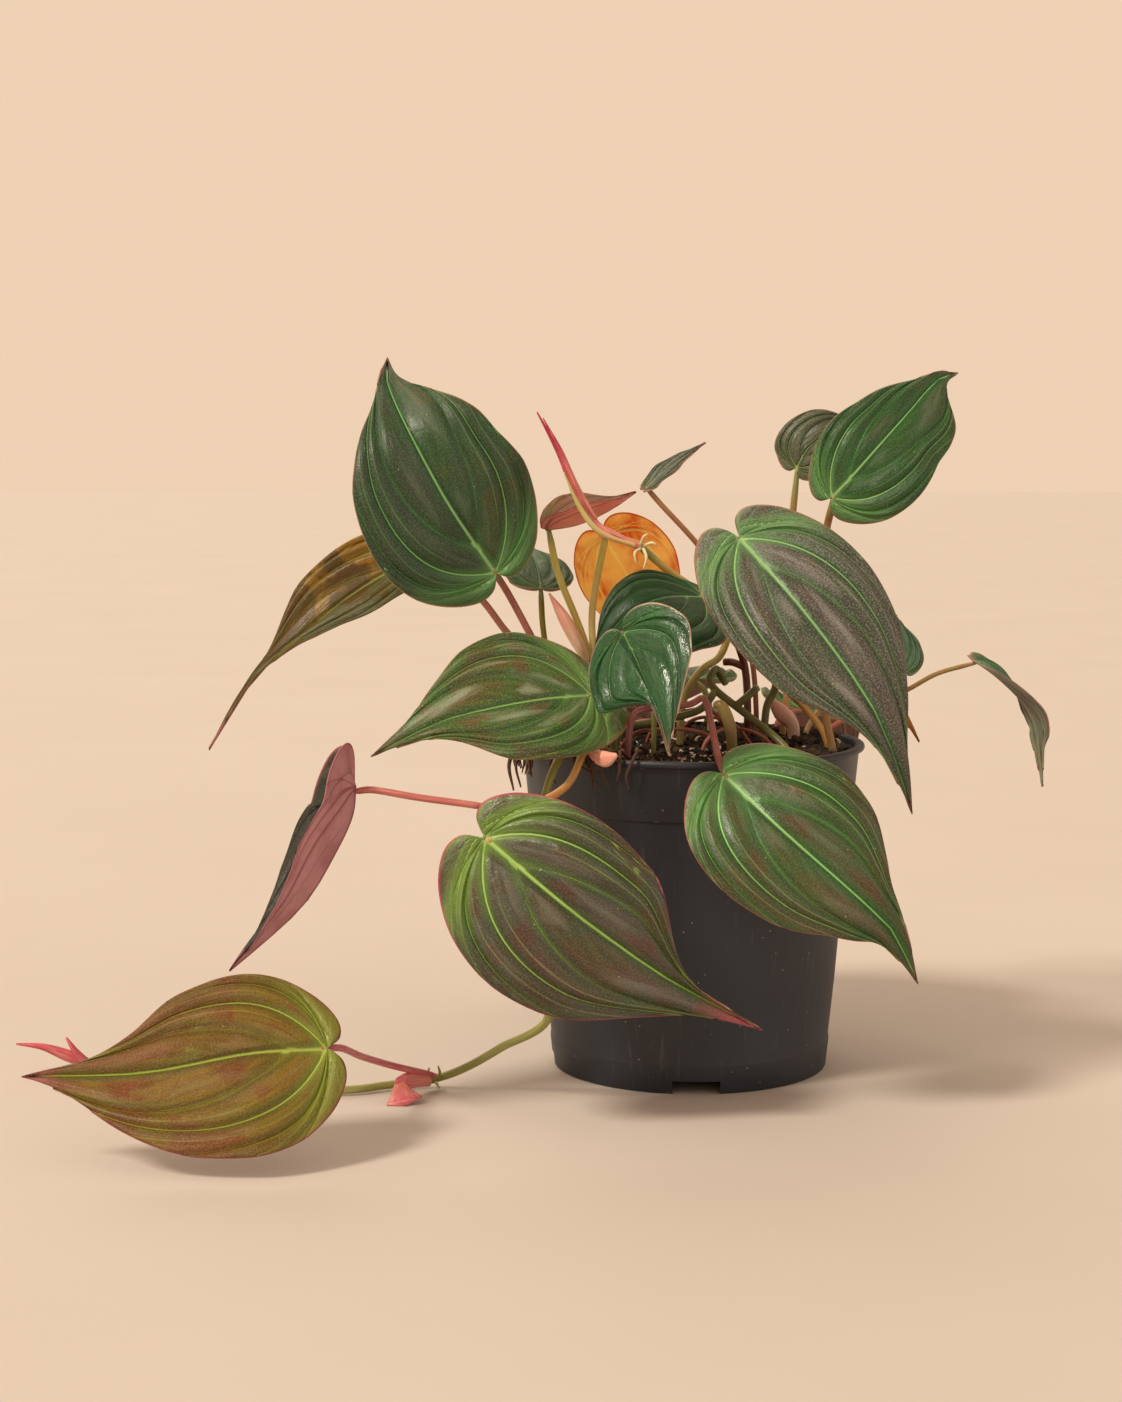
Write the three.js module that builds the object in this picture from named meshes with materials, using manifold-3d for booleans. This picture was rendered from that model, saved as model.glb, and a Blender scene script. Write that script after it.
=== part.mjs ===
// A potted velvet leaf philodendron: a nursery pot, its soil, the heart shaped leaves,
// their petioles, the vines, the pink leaf sheaths and a few aerial roots.
// Millimetres, +Z up. The origin is the middle of the pot's base, and -Y is the front.
import * as THREE from 'three';
import { mergeVertices } from 'three/addons/utils/BufferGeometryUtils.js';
import Module from 'manifold-3d';

const wasm = await Module();
wasm.setup();

// Driving sizes of the pot
const RIM_RADIUS = 60;
const POT_HEIGHT = 113;
const BASE_RADIUS = 47.8;
const POT_WALL = 1.2;
const RIM_BEAD_HEIGHT = 2.4;
const COLLAR_HEIGHT = 20.5;
const COLLAR_STEP = 1.1;
const FOOT_STEP_HEIGHT = 10;
const FLOOR_HEIGHT = 3.2;
const PAD_RADIUS = 17;
const NOTCH_WIDTH = 16;
const NOTCH_HEIGHT = 4.5;
const NOTCH_DEPTH = 12;
const NOTCH_COUNT = 4;
const SLOT_COUNT = 8;
const SLOT_RADIUS = 2.6;
const SLOT_CIRCLE = 32;
const SLOT_CUT_LENGTH = 8;
const SLOT_SIDES = 8;
const POT_SIDES = 32;

// Driving sizes of the soil, the leaves and the stems
const GAP = 0.3;
const SOIL_LEVEL = 110.5;
const SOIL_SIDES = 30;
const STEM_DEPTH = 9;
const HOLE_GAP = 0.45;
const HOLE_SIDES = 8;
const BLADE_THICKNESS = 0.7;
const PLEAT = 0.011;
const STEM_SIDES = 6;
const STEPS_PER_POINT = 2;

const group = new THREE.Group();

function addPiece(name, geometry, colour, roughness) {
  const material = new THREE.MeshStandardMaterial({ color: colour, roughness, metalness: 0 });
  const mesh = new THREE.Mesh(geometry, material);
  mesh.name = name;
  group.add(mesh);
}

// Closed meshes and boolean cuts

function welded(geometry) {
  const bare = geometry.clone();
  for (const key of Object.keys(bare.attributes)) {
    if (key !== 'position') bare.deleteAttribute(key);
  }
  const merged = mergeVertices(bare, 1e-4);
  const index = merged.index.array;
  const kept = [];
  for (let i = 0; i < index.length; i += 3) {
    const [a, b, c] = [index[i], index[i + 1], index[i + 2]];
    if (a !== b && b !== c && c !== a) kept.push(a, b, c);
  }
  merged.setIndex(kept);
  return merged;
}

function toSolid(geometry) {
  const mesh = welded(geometry);
  return new wasm.Manifold(new wasm.Mesh({
    numProp: 3,
    vertProperties: new Float32Array(mesh.attributes.position.array),
    triVerts: new Uint32Array(mesh.index.array),
  }));
}

function toGeometry(solid) {
  const mesh = solid.getMesh();
  const geometry = new THREE.BufferGeometry();
  geometry.setAttribute('position', new THREE.BufferAttribute(mesh.vertProperties, 3));
  geometry.setIndex(new THREE.BufferAttribute(mesh.triVerts, 1));
  return geometry;
}

function largestBody(solid) {
  const bodies = solid.decompose();
  bodies.sort((a, b) => b.volume() - a.volume());
  return bodies[0];
}

function vector(point) {
  return new THREE.Vector3(point[0], point[1], point[2]);
}

function curveThrough(points) {
  return new THREE.CatmullRomCurve3(points.map(vector), false, 'catmullrom', 0.5);
}

// The flat leaf, with the midrib from (0, 0) at the petiole to (1, 0) at the tip.
// Each side has lines that leave the midrib as the veins do and arch out to the margin.
const MARGIN = curveThrough([
  [1, 0, 0], [0.90, 0.03, 0], [0.79, 0.085, 0], [0.66, 0.17, 0], [0.50, 0.255, 0], [0.30, 0.30, 0],
  [0.14, 0.275, 0], [0.02, 0.20, 0], [-0.045, 0.11, 0], [-0.048, 0.04, 0], [0, 0, 0],
]);
const VEIN_BOW = curveThrough([
  [1, 0, 0], [0.42, 0.235, 0], [0.24, 0.33, 0], [0.12, 0.35, 0], [0.06, 0.33, 0], [0.05, 0.27, 0],
  [0.015, 0.18, 0], [-0.01, 0.10, 0], [-0.025, 0.05, 0], [-0.02, 0.02, 0], [0, 0, 0],
]);
const VEIN_START_POWER = 9.5;
const HALF_WIDTH = 0.31;
const NECKS = [0.45, 0.45];
const NECK_SPAN = 0.35;
const NO_LOBES = [0, 0];
// Lines of the fan: veins and the crests halfway between them take turns
const FAN = [0, 0.04, 0.1, 0.16, 0.22, 0.31, 0.4, 0.51, 0.62, 0.76, 0.9, 1];
const CREST_LINES = [0.16, 0.31, 0.51, 0.76];
const FAN_ROWS = 3;

function flatPoint(line, reach, lobe) {
  const margin = MARGIN.getPoint(line);
  const bow = VEIN_BOW.getPoint(line);
  const back = lobe * 0.1 * Math.sin(Math.PI * Math.max(0, 2 * line - 1));
  const start = Math.max(0, 1 - 2 * line) ** VEIN_START_POWER;
  const near = (1 - reach) ** 2;
  const middle = 2 * reach * (1 - reach);
  const far = reach ** 2;
  const along = near * start + middle * (bow.x - back / 2) + far * (margin.x - back);
  const across = middle * bow.y + far * margin.y;
  return [along, across];
}

function smoothStep(value) {
  const t = Math.min(1, Math.max(0, value));
  return t * t * (3 - 2 * t);
}

// A leaf in space: its midrib curve, with the side that the upper face looks to
function makeRib(leaf) {
  const curve = curveThrough(leaf.rib);
  const face = vector(leaf.face).normalize();
  const tipFace = vector(leaf.tipFace ?? leaf.face).normalize();
  const length = curve.getLength();
  return (along) => {
    const t = Math.min(1, Math.max(0, along));
    const tangent = curve.getTangentAt(t).normalize();
    const point = curve.getPointAt(t).addScaledVector(tangent, Math.min(0, along) * length);
    const normal = face.clone().lerp(tipFace, t ** (leaf.turn ?? 1));
    normal.addScaledVector(tangent, -normal.dot(tangent)).normalize();
    const left = normal.clone().cross(tangent);
    return { point, tangent, normal, left, length };
  };
}

function bladePoint(leaf, ribAt, line, side, reach) {
  const [along, flatAcross] = flatPoint(line, reach, (leaf.lobe ?? NO_LOBES)[side > 0 ? 0 : 1]);
  const which = side > 0 ? 0 : 1;
  const wide = leaf.wide[which];
  const neck = (leaf.neck ?? NECKS)[which];
  const narrowing = 1 - leaf.drip[which] * smoothStep((along - neck) / NECK_SPAN);
  const { point, normal, left, length } = ribAt(along);
  const across = flatAcross * wide * narrowing * length;
  const share = across / (HALF_WIDTH * wide * length);
  const halfWidth = HALF_WIDTH * wide * length;
  const fold = leaf.fold[which];
  const cup = leaf.cup[which];
  const crest = CREST_LINES.includes(line) ? Math.sin(Math.PI * Math.min(1, reach)) : 0;
  const lift = across * fold + cup * share * share * halfWidth + crest * PLEAT * length;
  const slant = Math.sqrt(1 + (fold + cup * share) ** 2);
  return point.addScaledVector(left, (side * across) / slant).addScaledVector(normal, lift);
}

function bladeSurface(leaf, lift) {
  const ribAt = makeRib(leaf);
  const positions = [];
  const indices = [];
  for (const side of [1, -1]) {
    const first = positions.length / 3;
    for (const line of FAN) {
      for (let row = 0; row <= FAN_ROWS; row += 1) {
        const at = bladePoint(leaf, ribAt, line, side, row / FAN_ROWS);
        positions.push(at.x, at.y, at.z);
      }
    }
    for (let i = 0; i < FAN.length - 1; i += 1) {
      for (let row = 0; row < FAN_ROWS; row += 1) {
        const a = first + i * (FAN_ROWS + 1) + row;
        const b = a + FAN_ROWS + 1;
        const quad = side > 0 ? [a, a + 1, b + 1, a, b + 1, b] : [a, b + 1, a + 1, a, b, b + 1];
        indices.push(...quad);
      }
    }
  }
  const geometry = new THREE.BufferGeometry();
  geometry.setAttribute('position', new THREE.Float32BufferAttribute(positions, 3));
  geometry.setIndex(indices);
  const surface = welded(geometry);
  surface.computeVertexNormals();
  const place = surface.attributes.position;
  const normals = surface.attributes.normal;
  for (let i = 0; i < place.count; i += 1) {
    place.setXYZ(
      i,
      place.getX(i) + lift * normals.getX(i),
      place.getY(i) + lift * normals.getY(i),
      place.getZ(i) + lift * normals.getZ(i),
    );
  }
  return surface;
}

// Closes a sheet into a blade: a second face under it, split into triangles alike, and a rim
function thickened(surface, thickness) {
  const place = surface.attributes.position;
  const normals = surface.attributes.normal;
  const index = Array.from(surface.index.array);
  const count = place.count;
  const positions = Array.from(place.array);
  for (let i = 0; i < count; i += 1) {
    positions.push(
      place.getX(i) - thickness * normals.getX(i),
      place.getY(i) - thickness * normals.getY(i),
      place.getZ(i) - thickness * normals.getZ(i),
    );
  }
  const edges = new Set();
  for (let i = 0; i < index.length; i += 3) {
    for (let k = 0; k < 3; k += 1) edges.add(`${index[i + k]} ${index[i + ((k + 1) % 3)]}`);
  }
  const faces = [...index];
  for (let i = 0; i < index.length; i += 3) {
    faces.push(index[i] + count, index[i + 2] + count, index[i + 1] + count);
  }
  for (const edge of edges) {
    const [a, b] = edge.split(' ').map(Number);
    if (!edges.has(`${b} ${a}`)) faces.push(a, a + count, b + count, a, b + count, b);
  }
  const geometry = new THREE.BufferGeometry();
  geometry.setAttribute('position', new THREE.Float32BufferAttribute(positions, 3));
  geometry.setIndex(faces);
  return geometry;
}

// The leaves. Each rib runs from the petiole to the tip, and face is the way the upper side looks.
// wide, drip, fold and cup each hold the left side's value, then the right side's.
const GREEN = 0x2f4a2c;
const MOTTLED = 0x4a5a33;
const DARK_GREEN = 0x1e3a26;
const BROWN_GREEN = 0x4b4a35;
const VELVET = 0x54514a;
const BRONZE = 0x8a5a26;
const ORANGE = 0xc4763a;

const LEAVES = {
  leaf_upper_left: {
    rib: [
      [-67, -20, 172], [-82, -30, 195], [-94, -30, 217], [-101, -18, 230], [-104, -8, 237], [-104, -4, 245],
    ],
    face: [0.15, -1, 0.2], tipFace: [-0.1, -0.8, 0.6], wide: [1.08, 1.05], drip: [0.2, -0.35],
    fold: [0.05, 0.05], cup: [-0.1, -0.1], colour: DARK_GREEN,
  },
  leaf_hanging_left: {
    rib: [
      [-90, 2, 178], [-105, 2, 171], [-119, 0, 162], [-131, -2, 152], [-142, -4, 143], [-151, -4, 134],
      [-167, -2, 110],
    ],
    face: [-0.45, -0.5, 0.75], tipFace: [-0.5, 0.8, 0.35], turn: 2.8, wide: [0.6, 0.55], drip: [0.7, 0.75],
    neck: [0.24, 0.38], fold: [0.1, 0.6], cup: [-0.1, 0], colour: BRONZE,
  },
  leaf_mid_left: {
    rib: [[-35, -40, 133], [-50, -52, 133], [-67, -62, 131], [-84, -68, 127], [-106, -68, 116]],
    face: [-0.1, -0.85, 0.5], tipFace: [-0.3, -0.8, 0.5], wide: [0.92, 1.15], drip: [0.45, 0.2],
    fold: [0.05, 0.05], cup: [-0.1, -0.1], lobe: [1, 0.3], colour: MOTTLED,
  },
  leaf_small_glossy: {
    rib: [[-25, -56, 155], [-21, -61, 147], [-17, -69, 138], [-13, -77, 128], [-11, -83, 118]],
    face: [-0.7, -0.7, 0.2], wide: [1.6, 1.6], drip: [0.15, 0.9], neck: [0.45, 0.28],
    fold: [0.05, 0.05], cup: [-0.1, -0.1], lobe: [0.4, 0.4], colour: 0x2a5a48,
  },
  leaf_arched: {
    rib: [[3, -15, 164], [-12, -26, 164], [-25, -29, 157], [-37, -29, 138]],
    face: [-0.2, -0.7, 0.7], tipFace: [-0.6, -0.7, 0.3], wide: [1.6, 0.95], drip: [0.2, 0.2],
    fold: [0.05, 0.05], cup: [-0.1, -0.1], colour: DARK_GREEN,
  },
  leaf_front: {
    rib: [[-69, -88, 93], [-47, -98, 76], [-33, -98, 65], [-11, -94, 49], [19, -86, 31]],
    face: [-0.15, -1, 0.25], tipFace: [0, -1, 0.1], wide: [0.83, 1.02], drip: [0.8, 0.35],
    fold: [0.05, 0.05], cup: [-0.1, -0.1], lobe: [0.2, 0.2], colour: BROWN_GREEN,
  },
  leaf_front_right: {
    rib: [[7, -66, 110], [25, -80, 94], [49, -84, 73], [60, -82, 62], [69, -78, 44]],
    face: [0.2, -1, 0.35], tipFace: [0.3, -1, 0.1], wide: [1, 0.95], drip: [0.4, 0.2],
    fold: [0.05, 0.05], cup: [-0.1, -0.1], colour: GREEN,
  },
  leaf_velvet_right: {
    rib: [[13, -45, 185], [32, -64, 163], [51, -72, 137], [60, -72, 119], [68, -66, 97]],
    face: [0.1, -1, 0.4], tipFace: [0.5, -1, 0.1], wide: [0.85, 0.76], drip: [0.2, 0.45],
    fold: [0.05, 0.05], cup: [-0.1, -0.1], lobe: [0.3, 0.3], colour: VELVET,
  },
  leaf_upper_right: {
    rib: [[47, -8, 197], [55, -10, 206], [64, -8, 216], [75, 2, 227], [85, 12, 237], [93, 14, 240]],
    face: [0.1, -1, 0.35], tipFace: [0.1, -0.8, 0.6], wide: [0.85, 1.02], drip: [-0.3, -0.6],
    fold: [0.05, 0.05], cup: [-0.1, -0.1], colour: GREEN,
  },
  leaf_dull_right: {
    rib: [[37, 13, 207], [41, 12, 214], [49, 13, 219], [63, 18, 222]],
    face: [-0.3, -1, 0.3], tipFace: [-0.3, -1, 0.2], wide: [1.25, 1.2], drip: [0, 0],
    fold: [0.05, 0.05], cup: [-0.1, -0.1], lobe: [0.3, 0.3], colour: 0x4d5a45,
  },
  leaf_curled_right: {
    rib: [[98, 0, 141], [106, -3, 135], [114, -4, 127], [119, -4, 118], [120, -3, 111], [122, -2, 97]],
    face: [0.6, -0.35, 0.7], tipFace: [0.5, 0.9, 0.3], wide: [0.6, 0.6], drip: [0.4, 0.4],
    fold: [0.3, 0.3], cup: [-0.1, -0.1], colour: 0x5a6a4e,
  },
  leaf_tiny_right: {
    rib: [[79, 36, 133], [78, 38, 143], [76, 40, 154]],
    face: [0.1, -1, 0.2], wide: [1.15, 1.15], drip: [0, 0],
    fold: [0.1, 0.1], cup: [-0.1, -0.1], colour: 0x5f7a5a,
  },
  leaf_yellow: {
    rib: [[65, 20, 161], [69, 14, 143], [72, 8, 126], [80, 4, 112]],
    face: [0.8, -0.5, 0.3], wide: [0.75, 0.62], drip: [0, 0],
    fold: [0.1, 0.1], cup: [-0.1, -0.1], colour: 0xc89232,
  },
  leaf_inrolled: {
    rib: [
      [-110, -80, 108], [-111, -82, 99], [-116, -84, 88], [-125, -86, 73], [-137, -86, 61], [-150, -85, 50],
    ],
    face: [-0.95, 0, 0.35], wide: [0.92, 0.92], drip: [0, 0],
    fold: [0.5, 0.75], cup: [0, 0], lobe: [1.4, 1.4], colour: 0xa8606a,
  },
  leaf_bronze: {
    rib: [[-116, -118, 33], [-139, -124, 33], [-171, -128, 28], [-207, -128, 27]],
    face: [0, -0.75, 0.65], wide: [1.22, 1], drip: [0, 0.3],
    fold: [0.03, 0.03], cup: [-0.05, -0.05], colour: BRONZE,
  },
  leaf_dark_small: {
    rib: [[-52, 10, 165], [-53, 21, 170], [-55, 33, 175], [-58, 46, 179]],
    face: [0.1, -0.6, 0.8], wide: [1.05, 1.05], drip: [0, 0],
    fold: [0.1, 0.1], cup: [-0.1, -0.1], colour: DARK_GREEN,
  },
  leaf_orange: {
    rib: [[-30, 12, 183], [-22, 11, 170], [-15, 8, 156], [-8, 4, 139]],
    face: [0.25, 1, 0.1], wide: [1.15, 1.3], drip: [0, 0],
    fold: [0.1, 0.1], cup: [-0.1, -0.1], lobe: [0.6, 0.6], colour: ORANGE,
  },
  leaf_edge_on: {
    rib: [[-50, 1, 186], [-39, 1, 188], [-28, 3, 193], [-19, 8, 199]],
    face: [-0.35, 0.1, 0.9], wide: [1.2, 1.2], drip: [0, 0],
    fold: [0.95, 0.4], cup: [0, 0], colour: 0xb07a68,
  },
  leaf_small_top: {
    rib: [[-16, 2, 200], [-7, 3, 208], [5, 6, 216]],
    face: [-0.4, -0.5, 0.8], wide: [0.65, 0.65], drip: [0, 0],
    fold: [0.2, 0.2], cup: [-0.1, -0.1], colour: 0x66705a,
  },
  leaf_back_low: {
    rib: [[3, 30, 131], [-4, 46, 134], [-11, 63, 128], [-19, 80, 112], [-24, 92, 94]],
    face: [-0.1, 0.3, 1], tipFace: [-0.2, 1, 0.4], wide: [1, 1], drip: [0.2, 0.2],
    fold: [0.05, 0.05], cup: [-0.1, -0.1], colour: GREEN,
  },
  leaf_back_right: {
    rib: [[42, 33, 120], [46, 46, 121], [49, 57, 112], [50, 66, 95], [48, 70, 78]],
    face: [0.3, 0.2, 1], tipFace: [0.7, 0.7, 0.3], wide: [1, 1], drip: [0.2, 0.2],
    fold: [0.05, 0.05], cup: [-0.1, -0.1], colour: MOTTLED,
  },
  leaf_back_left: {
    rib: [[-24, 62, 116], [-29, 74, 105], [-32, 82, 86], [-31, 84, 64], [-27, 83, 44]],
    face: [-0.4, 1, 0.5], tipFace: [-0.4, 1, 0], wide: [1, 1], drip: [0.3, 0.3],
    fold: [0.05, 0.05], cup: [-0.1, -0.1], colour: BROWN_GREEN,
  },
  leaf_back_hanging: {
    rib: [[16, 72, 106], [23, 82, 92], [26, 86, 72], [25, 84, 52], [20, 80, 34]],
    face: [0.3, 1, 0.4], tipFace: [0.2, 1, -0.1], wide: [1, 1], drip: [0.3, 0.3],
    fold: [0.05, 0.05], cup: [-0.1, -0.1], colour: GREEN,
  },
  leaf_back_high: {
    rib: [[40, 46, 168], [44, 58, 166], [48, 70, 156], [51, 80, 140], [53, 88, 120]],
    face: [0.2, 0.5, 1], tipFace: [0.3, 1, 0.3], wide: [1, 1], drip: [0.2, 0.2],
    fold: [0.05, 0.05], cup: [-0.1, -0.1], colour: DARK_GREEN,
  },
};

const keepClear = {};
for (const [name, leaf] of Object.entries(LEAVES)) {
  addPiece(name, thickened(bladeSurface(leaf, 0), BLADE_THICKNESS), leaf.colour, 0.6);
  keepClear[name] = toSolid(thickened(bladeSurface(leaf, GAP), BLADE_THICKNESS + 2 * GAP));
}

// Stems and petioles: round tubes of one radius along a smooth curve.
// A stem is sampled evenly between its own points, so close points give a finer bend.
class StemCurve extends THREE.CatmullRomCurve3 {
  getPointAt(share) {
    return this.getPoint(share);
  }

  getTangentAt(share) {
    return this.getTangent(share);
  }
}

function roundShape(radius, sides) {
  const points = [];
  for (let i = 0; i < sides; i += 1) {
    const angle = (2 * Math.PI * i) / sides;
    points.push(new THREE.Vector2(radius * Math.cos(angle), radius * Math.sin(angle)));
  }
  return new THREE.Shape(points);
}

function tubeSolid(points, radius) {
  const path = new StemCurve(points.map(vector), false, 'catmullrom', 0.5);
  const steps = STEPS_PER_POINT * (points.length - 1);
  const options = { steps, bevelEnabled: false, extrudePath: path };
  return toSolid(new THREE.ExtrudeGeometry(roundShape(radius, STEM_SIDES), options));
}

// The top of the soil is lumpy, with a heap at the back right
function soilHeight(x, y) {
  const heap = 3.2 * Math.exp(-((x - 14) ** 2 + (y - 20) ** 2) / 900);
  const lump = 1.6 * Math.exp(-((x - 38) ** 2 + (y - 22) ** 2) / 120);
  const ripples = 0.7 * Math.sin(0.31 * x + 1.3) * Math.sin(0.27 * y + 0.4);
  const furrows = 0.4 * Math.sin(0.6 * x - 0.25 * y);
  return SOIL_LEVEL + heap + lump + ripples + furrows;
}

// A two number first point is a foot in the soil: the stem rises straight from it
const FOOT_BOTTOM = SOIL_LEVEL - STEM_DEPTH;

function stemPath(points) {
  if (points[0].length === 3) return points;
  const [x, y] = points[0];
  const ground = soilHeight(x, y);
  return [[x, y, FOOT_BOTTOM], [x, y, ground - 1], [x, y, ground + 2], ...points.slice(1)];
}

// A petiole ends in its leaf's base, cut flat under the blade so that a thin gap stays
function leafBase(name) {
  const { point, normal } = makeRib(LEAVES[name])(0.015);
  return point.addScaledVector(normal, -BLADE_THICKNESS / 2).toArray();
}

function cutAtLeaf(solid, name) {
  const { point, normal, tangent, left } = makeRib(LEAVES[name])(0);
  const block = new THREE.BoxGeometry(9, 10, 8);
  const depth = BLADE_THICKNESS + GAP + 0.1 - 1.3 * Math.min(0, ...LEAVES[name].fold);
  block.translate(2, 0, 4 - depth);
  block.applyMatrix4(new THREE.Matrix4().makeBasis(tangent, left, normal).setPosition(point));
  return solid.subtract(toSolid(block)).subtract(keepClear[name]);
}

const OLIVE = 0x7d7d3a;
const RED_STEM = 0xa0483c;
const PINK_STEM = 0xb4606a;
const TAN_STEM = 0x9c7a55;

const STEMS = {
  stem_left_pair: {
    radius: 1.3, colour: 0x8a5a4c,
    paths: [
      {
        points: [[-38, -10], [-42, -11, 125], [-50, -13, 140], [-56, -14, 152], [-63, -14, 165]],
        leaf: 'leaf_upper_left',
      },
      {
        points: [[-50, -13, 140], [-57, -5, 145], [-64, 0, 151], [-71, 3, 160], [-80, 3, 170]],
        leaf: 'leaf_hanging_left',
      },
    ],
  },
  petiole_mid_left: {
    radius: 1.2, colour: OLIVE,
    paths: [{ points: [[-27, -26], [-28, -29, 121], [-32, -35, 129]], leaf: 'leaf_mid_left' }],
  },
  petiole_small_glossy: {
    radius: 0.9, colour: OLIVE,
    paths: [{
      points: [[-14, -30], [-14, -33, 125], [-15, -36, 133], [-17, -46, 142], [-21, -54, 149]],
      leaf: 'leaf_small_glossy',
    }],
  },
  stem_brown: {
    radius: 1.4, colour: 0x5a3226,
    paths: [
      { points: [[20, 6], [20, 5, 124], [19, 6, 138], [14, -2, 151], [8, -10, 160]], leaf: 'leaf_arched' },
      { points: [[19, 6, 138], [15, 8, 139.5], [12, 9.5, 139.5]] },
    ],
  },
  petiole_front: {
    radius: 1.4, colour: 0xc07a4a,
    paths: [{
      points: [
        [-29, -38], [-32, -42, 116.2], [-37, -49, 115.6], [-43, -62, 106], [-54, -76, 101], [-64, -84, 97],
      ],
      leaf: 'leaf_front',
    }],
  },
  petiole_front_right: {
    radius: 1.2, colour: RED_STEM,
    paths: [{
      points: [
        [-23, -40], [-21, -40, 126], [-14, -41, 129], [-3, -42, 130], [2, -43, 132], [4, -50, 125],
        [6, -60, 114],
      ],
      leaf: 'leaf_front_right',
    }],
  },
  petiole_velvet: {
    radius: 1.4, colour: 0x54562c,
    paths: [{
      points: [[25, -4], [26, -3, 125], [29, -4, 133], [27, -14, 148], [21, -31, 170]],
      leaf: 'leaf_velvet_right',
    }],
  },
  petiole_upper_right: {
    radius: 1.4, colour: TAN_STEM,
    paths: [{ points: [[47, -20], [45, -18, 124], [45, -11, 145], [45, -3, 178]], leaf: 'leaf_upper_right' }],
  },
  petiole_dull_right: {
    radius: 1.3, colour: 0xb07a3c,
    paths: [{
      points: [[47, -3], [44, -1, 119], [37, 1, 127], [31, 3, 133], [29, 7, 146], [34, 12, 175]],
      leaf: 'leaf_dull_right',
    }],
  },
  petiole_curled_right: {
    radius: 0.9, colour: RED_STEM,
    paths: [{
      points: [[49, 16], [56, 20, 118.5], [67, 22, 123], [78, 19, 129], [87, 10, 135.5]],
      leaf: 'leaf_curled_right',
    }],
  },
  stem_far_right: {
    radius: 1.1, colour: TAN_STEM,
    paths: [
      { points: [[42, 17], [47, 21, 122], [57, 24, 135], [63, 23, 150]], leaf: 'leaf_yellow' },
      { points: [[47, 21, 122], [60, 29, 125], [73, 34, 128]], leaf: 'leaf_tiny_right' },
    ],
  },
  petiole_dark_small: {
    radius: 1.1, colour: OLIVE,
    paths: [{ points: [[-44, 5], [-47, 8, 128], [-51, 11, 149]], leaf: 'leaf_dark_small' }],
  },
  stem_middle: {
    radius: 1.3, colour: 0xb0a85a,
    paths: [
      {
        points: [[-29, -4], [-32, -3, 130], [-36, -2, 145], [-40, -1, 156], [-46, 0, 171]],
        leaf: 'leaf_edge_on',
      },
      { points: [[-32, -3, 130], [-34, 0, 146], [-34, 4, 160], [-31, 8, 176]], leaf: 'leaf_orange' },
    ],
  },
  petiole_small_top: {
    radius: 1, colour: 0xb08060,
    paths: [{
      points: [[24, 14], [22, 14, 140], [13, 10, 166], [2, 4, 181], [-10, 2, 194]],
      leaf: 'leaf_small_top',
    }],
  },
  petiole_back_low: {
    radius: 1.2, colour: OLIVE,
    paths: [{ points: [[8, 20], [8, 22, 121], [6, 26, 128]], leaf: 'leaf_back_low' }],
  },
  petiole_back_right: {
    radius: 1.2, colour: RED_STEM,
    paths: [{ points: [[32, 24], [34, 26, 118.5], [38, 30, 119.6]], leaf: 'leaf_back_right' }],
  },
  petiole_back_left: {
    radius: 1.2, colour: RED_STEM,
    paths: [{ points: [[-22, 36], [-22, 40, 118], [-23, 51, 119]], leaf: 'leaf_back_left' }],
  },
  petiole_back_hanging: {
    radius: 1.2, colour: OLIVE,
    paths: [{ points: [[8, 42], [10, 48, 117.5], [13, 60, 116.5]], leaf: 'leaf_back_hanging' }],
  },
  petiole_back_high: {
    radius: 1.3, colour: TAN_STEM,
    paths: [{ points: [[33, 12], [35, 17, 130], [38, 28, 150], [39, 38, 164]], leaf: 'leaf_back_high' }],
  },
  vine_trailing: {
    radius: 1.5, colour: OLIVE,
    paths: [{
      points: [
        [-36, -34], [-38, -38, 116.8], [-43, -46, 116], [-49, -58, 106], [-54, -66, 82], [-54, -68, 55],
        [-49, -62, 30], [-65, -52, 17], [-77, -45, 8.5], [-88, -40, 3.4], [-103, -43, 2.1], [-118, -49, 2],
        [-150, -48, 2], [-184, -32, 2], [-211, -15, 3],
      ],
    }],
  },
  stem_crown: {
    radius: 1.4, colour: 0xa8923c,
    paths: [{
      points: [
        [-4, -7], [-3, -5, 127], [3, 0, 137], [10, 6, 141.5], [13, 8, 149], [11, 6, 157],
        [4, 2, 163.5], [-8, -4, 172], [-18, -9, 180.5],
      ],
    }],
  },
  stem_crossing: {
    radius: 1.4, colour: 0x6a7040,
    paths: [
      {
        points: [
          [31, -26], [27, -22, 117], [20, -18, 122.5], [14.5, -14, 126.5], [8, -10, 131.5], [6, -8, 135],
          [8, -6, 138.5], [10, -2, 136], [12, 0, 133],
        ],
      },
      { points: [[14.5, -14, 126.5], [18, -15, 129.5], [22, -14, 133]] },
      { points: [[-27, -17], [-23, -16, 119], [-12, -15, 121.5], [2, -13, 125], [8, -10, 131.5]] },
    ],
  },
};

function stemSolid(stem, extra) {
  return stem.paths
    .map(({ points, leaf }) => {
      const path = stemPath(points);
      return tubeSolid(leaf ? [...path, leafBase(leaf)] : path, stem.radius + extra);
    })
    .reduce((whole, part) => whole.add(part));
}

const feet = [];
const stemSolids = {};
for (const [name, stem] of Object.entries(STEMS)) {
  let solid = stemSolid(stem, 0);
  for (const { points, leaf } of stem.paths) {
    if (leaf) solid = cutAtLeaf(solid, leaf);
    if (points[0].length === 2) feet.push({ x: points[0][0], y: points[0][1], radius: stem.radius });
  }
  stemSolids[name] = largestBody(solid);
  keepClear[name] = stemSolid(stem, GAP);
  addPiece(name, toGeometry(stemSolids[name]), stem.colour, 0.55);
}

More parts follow.
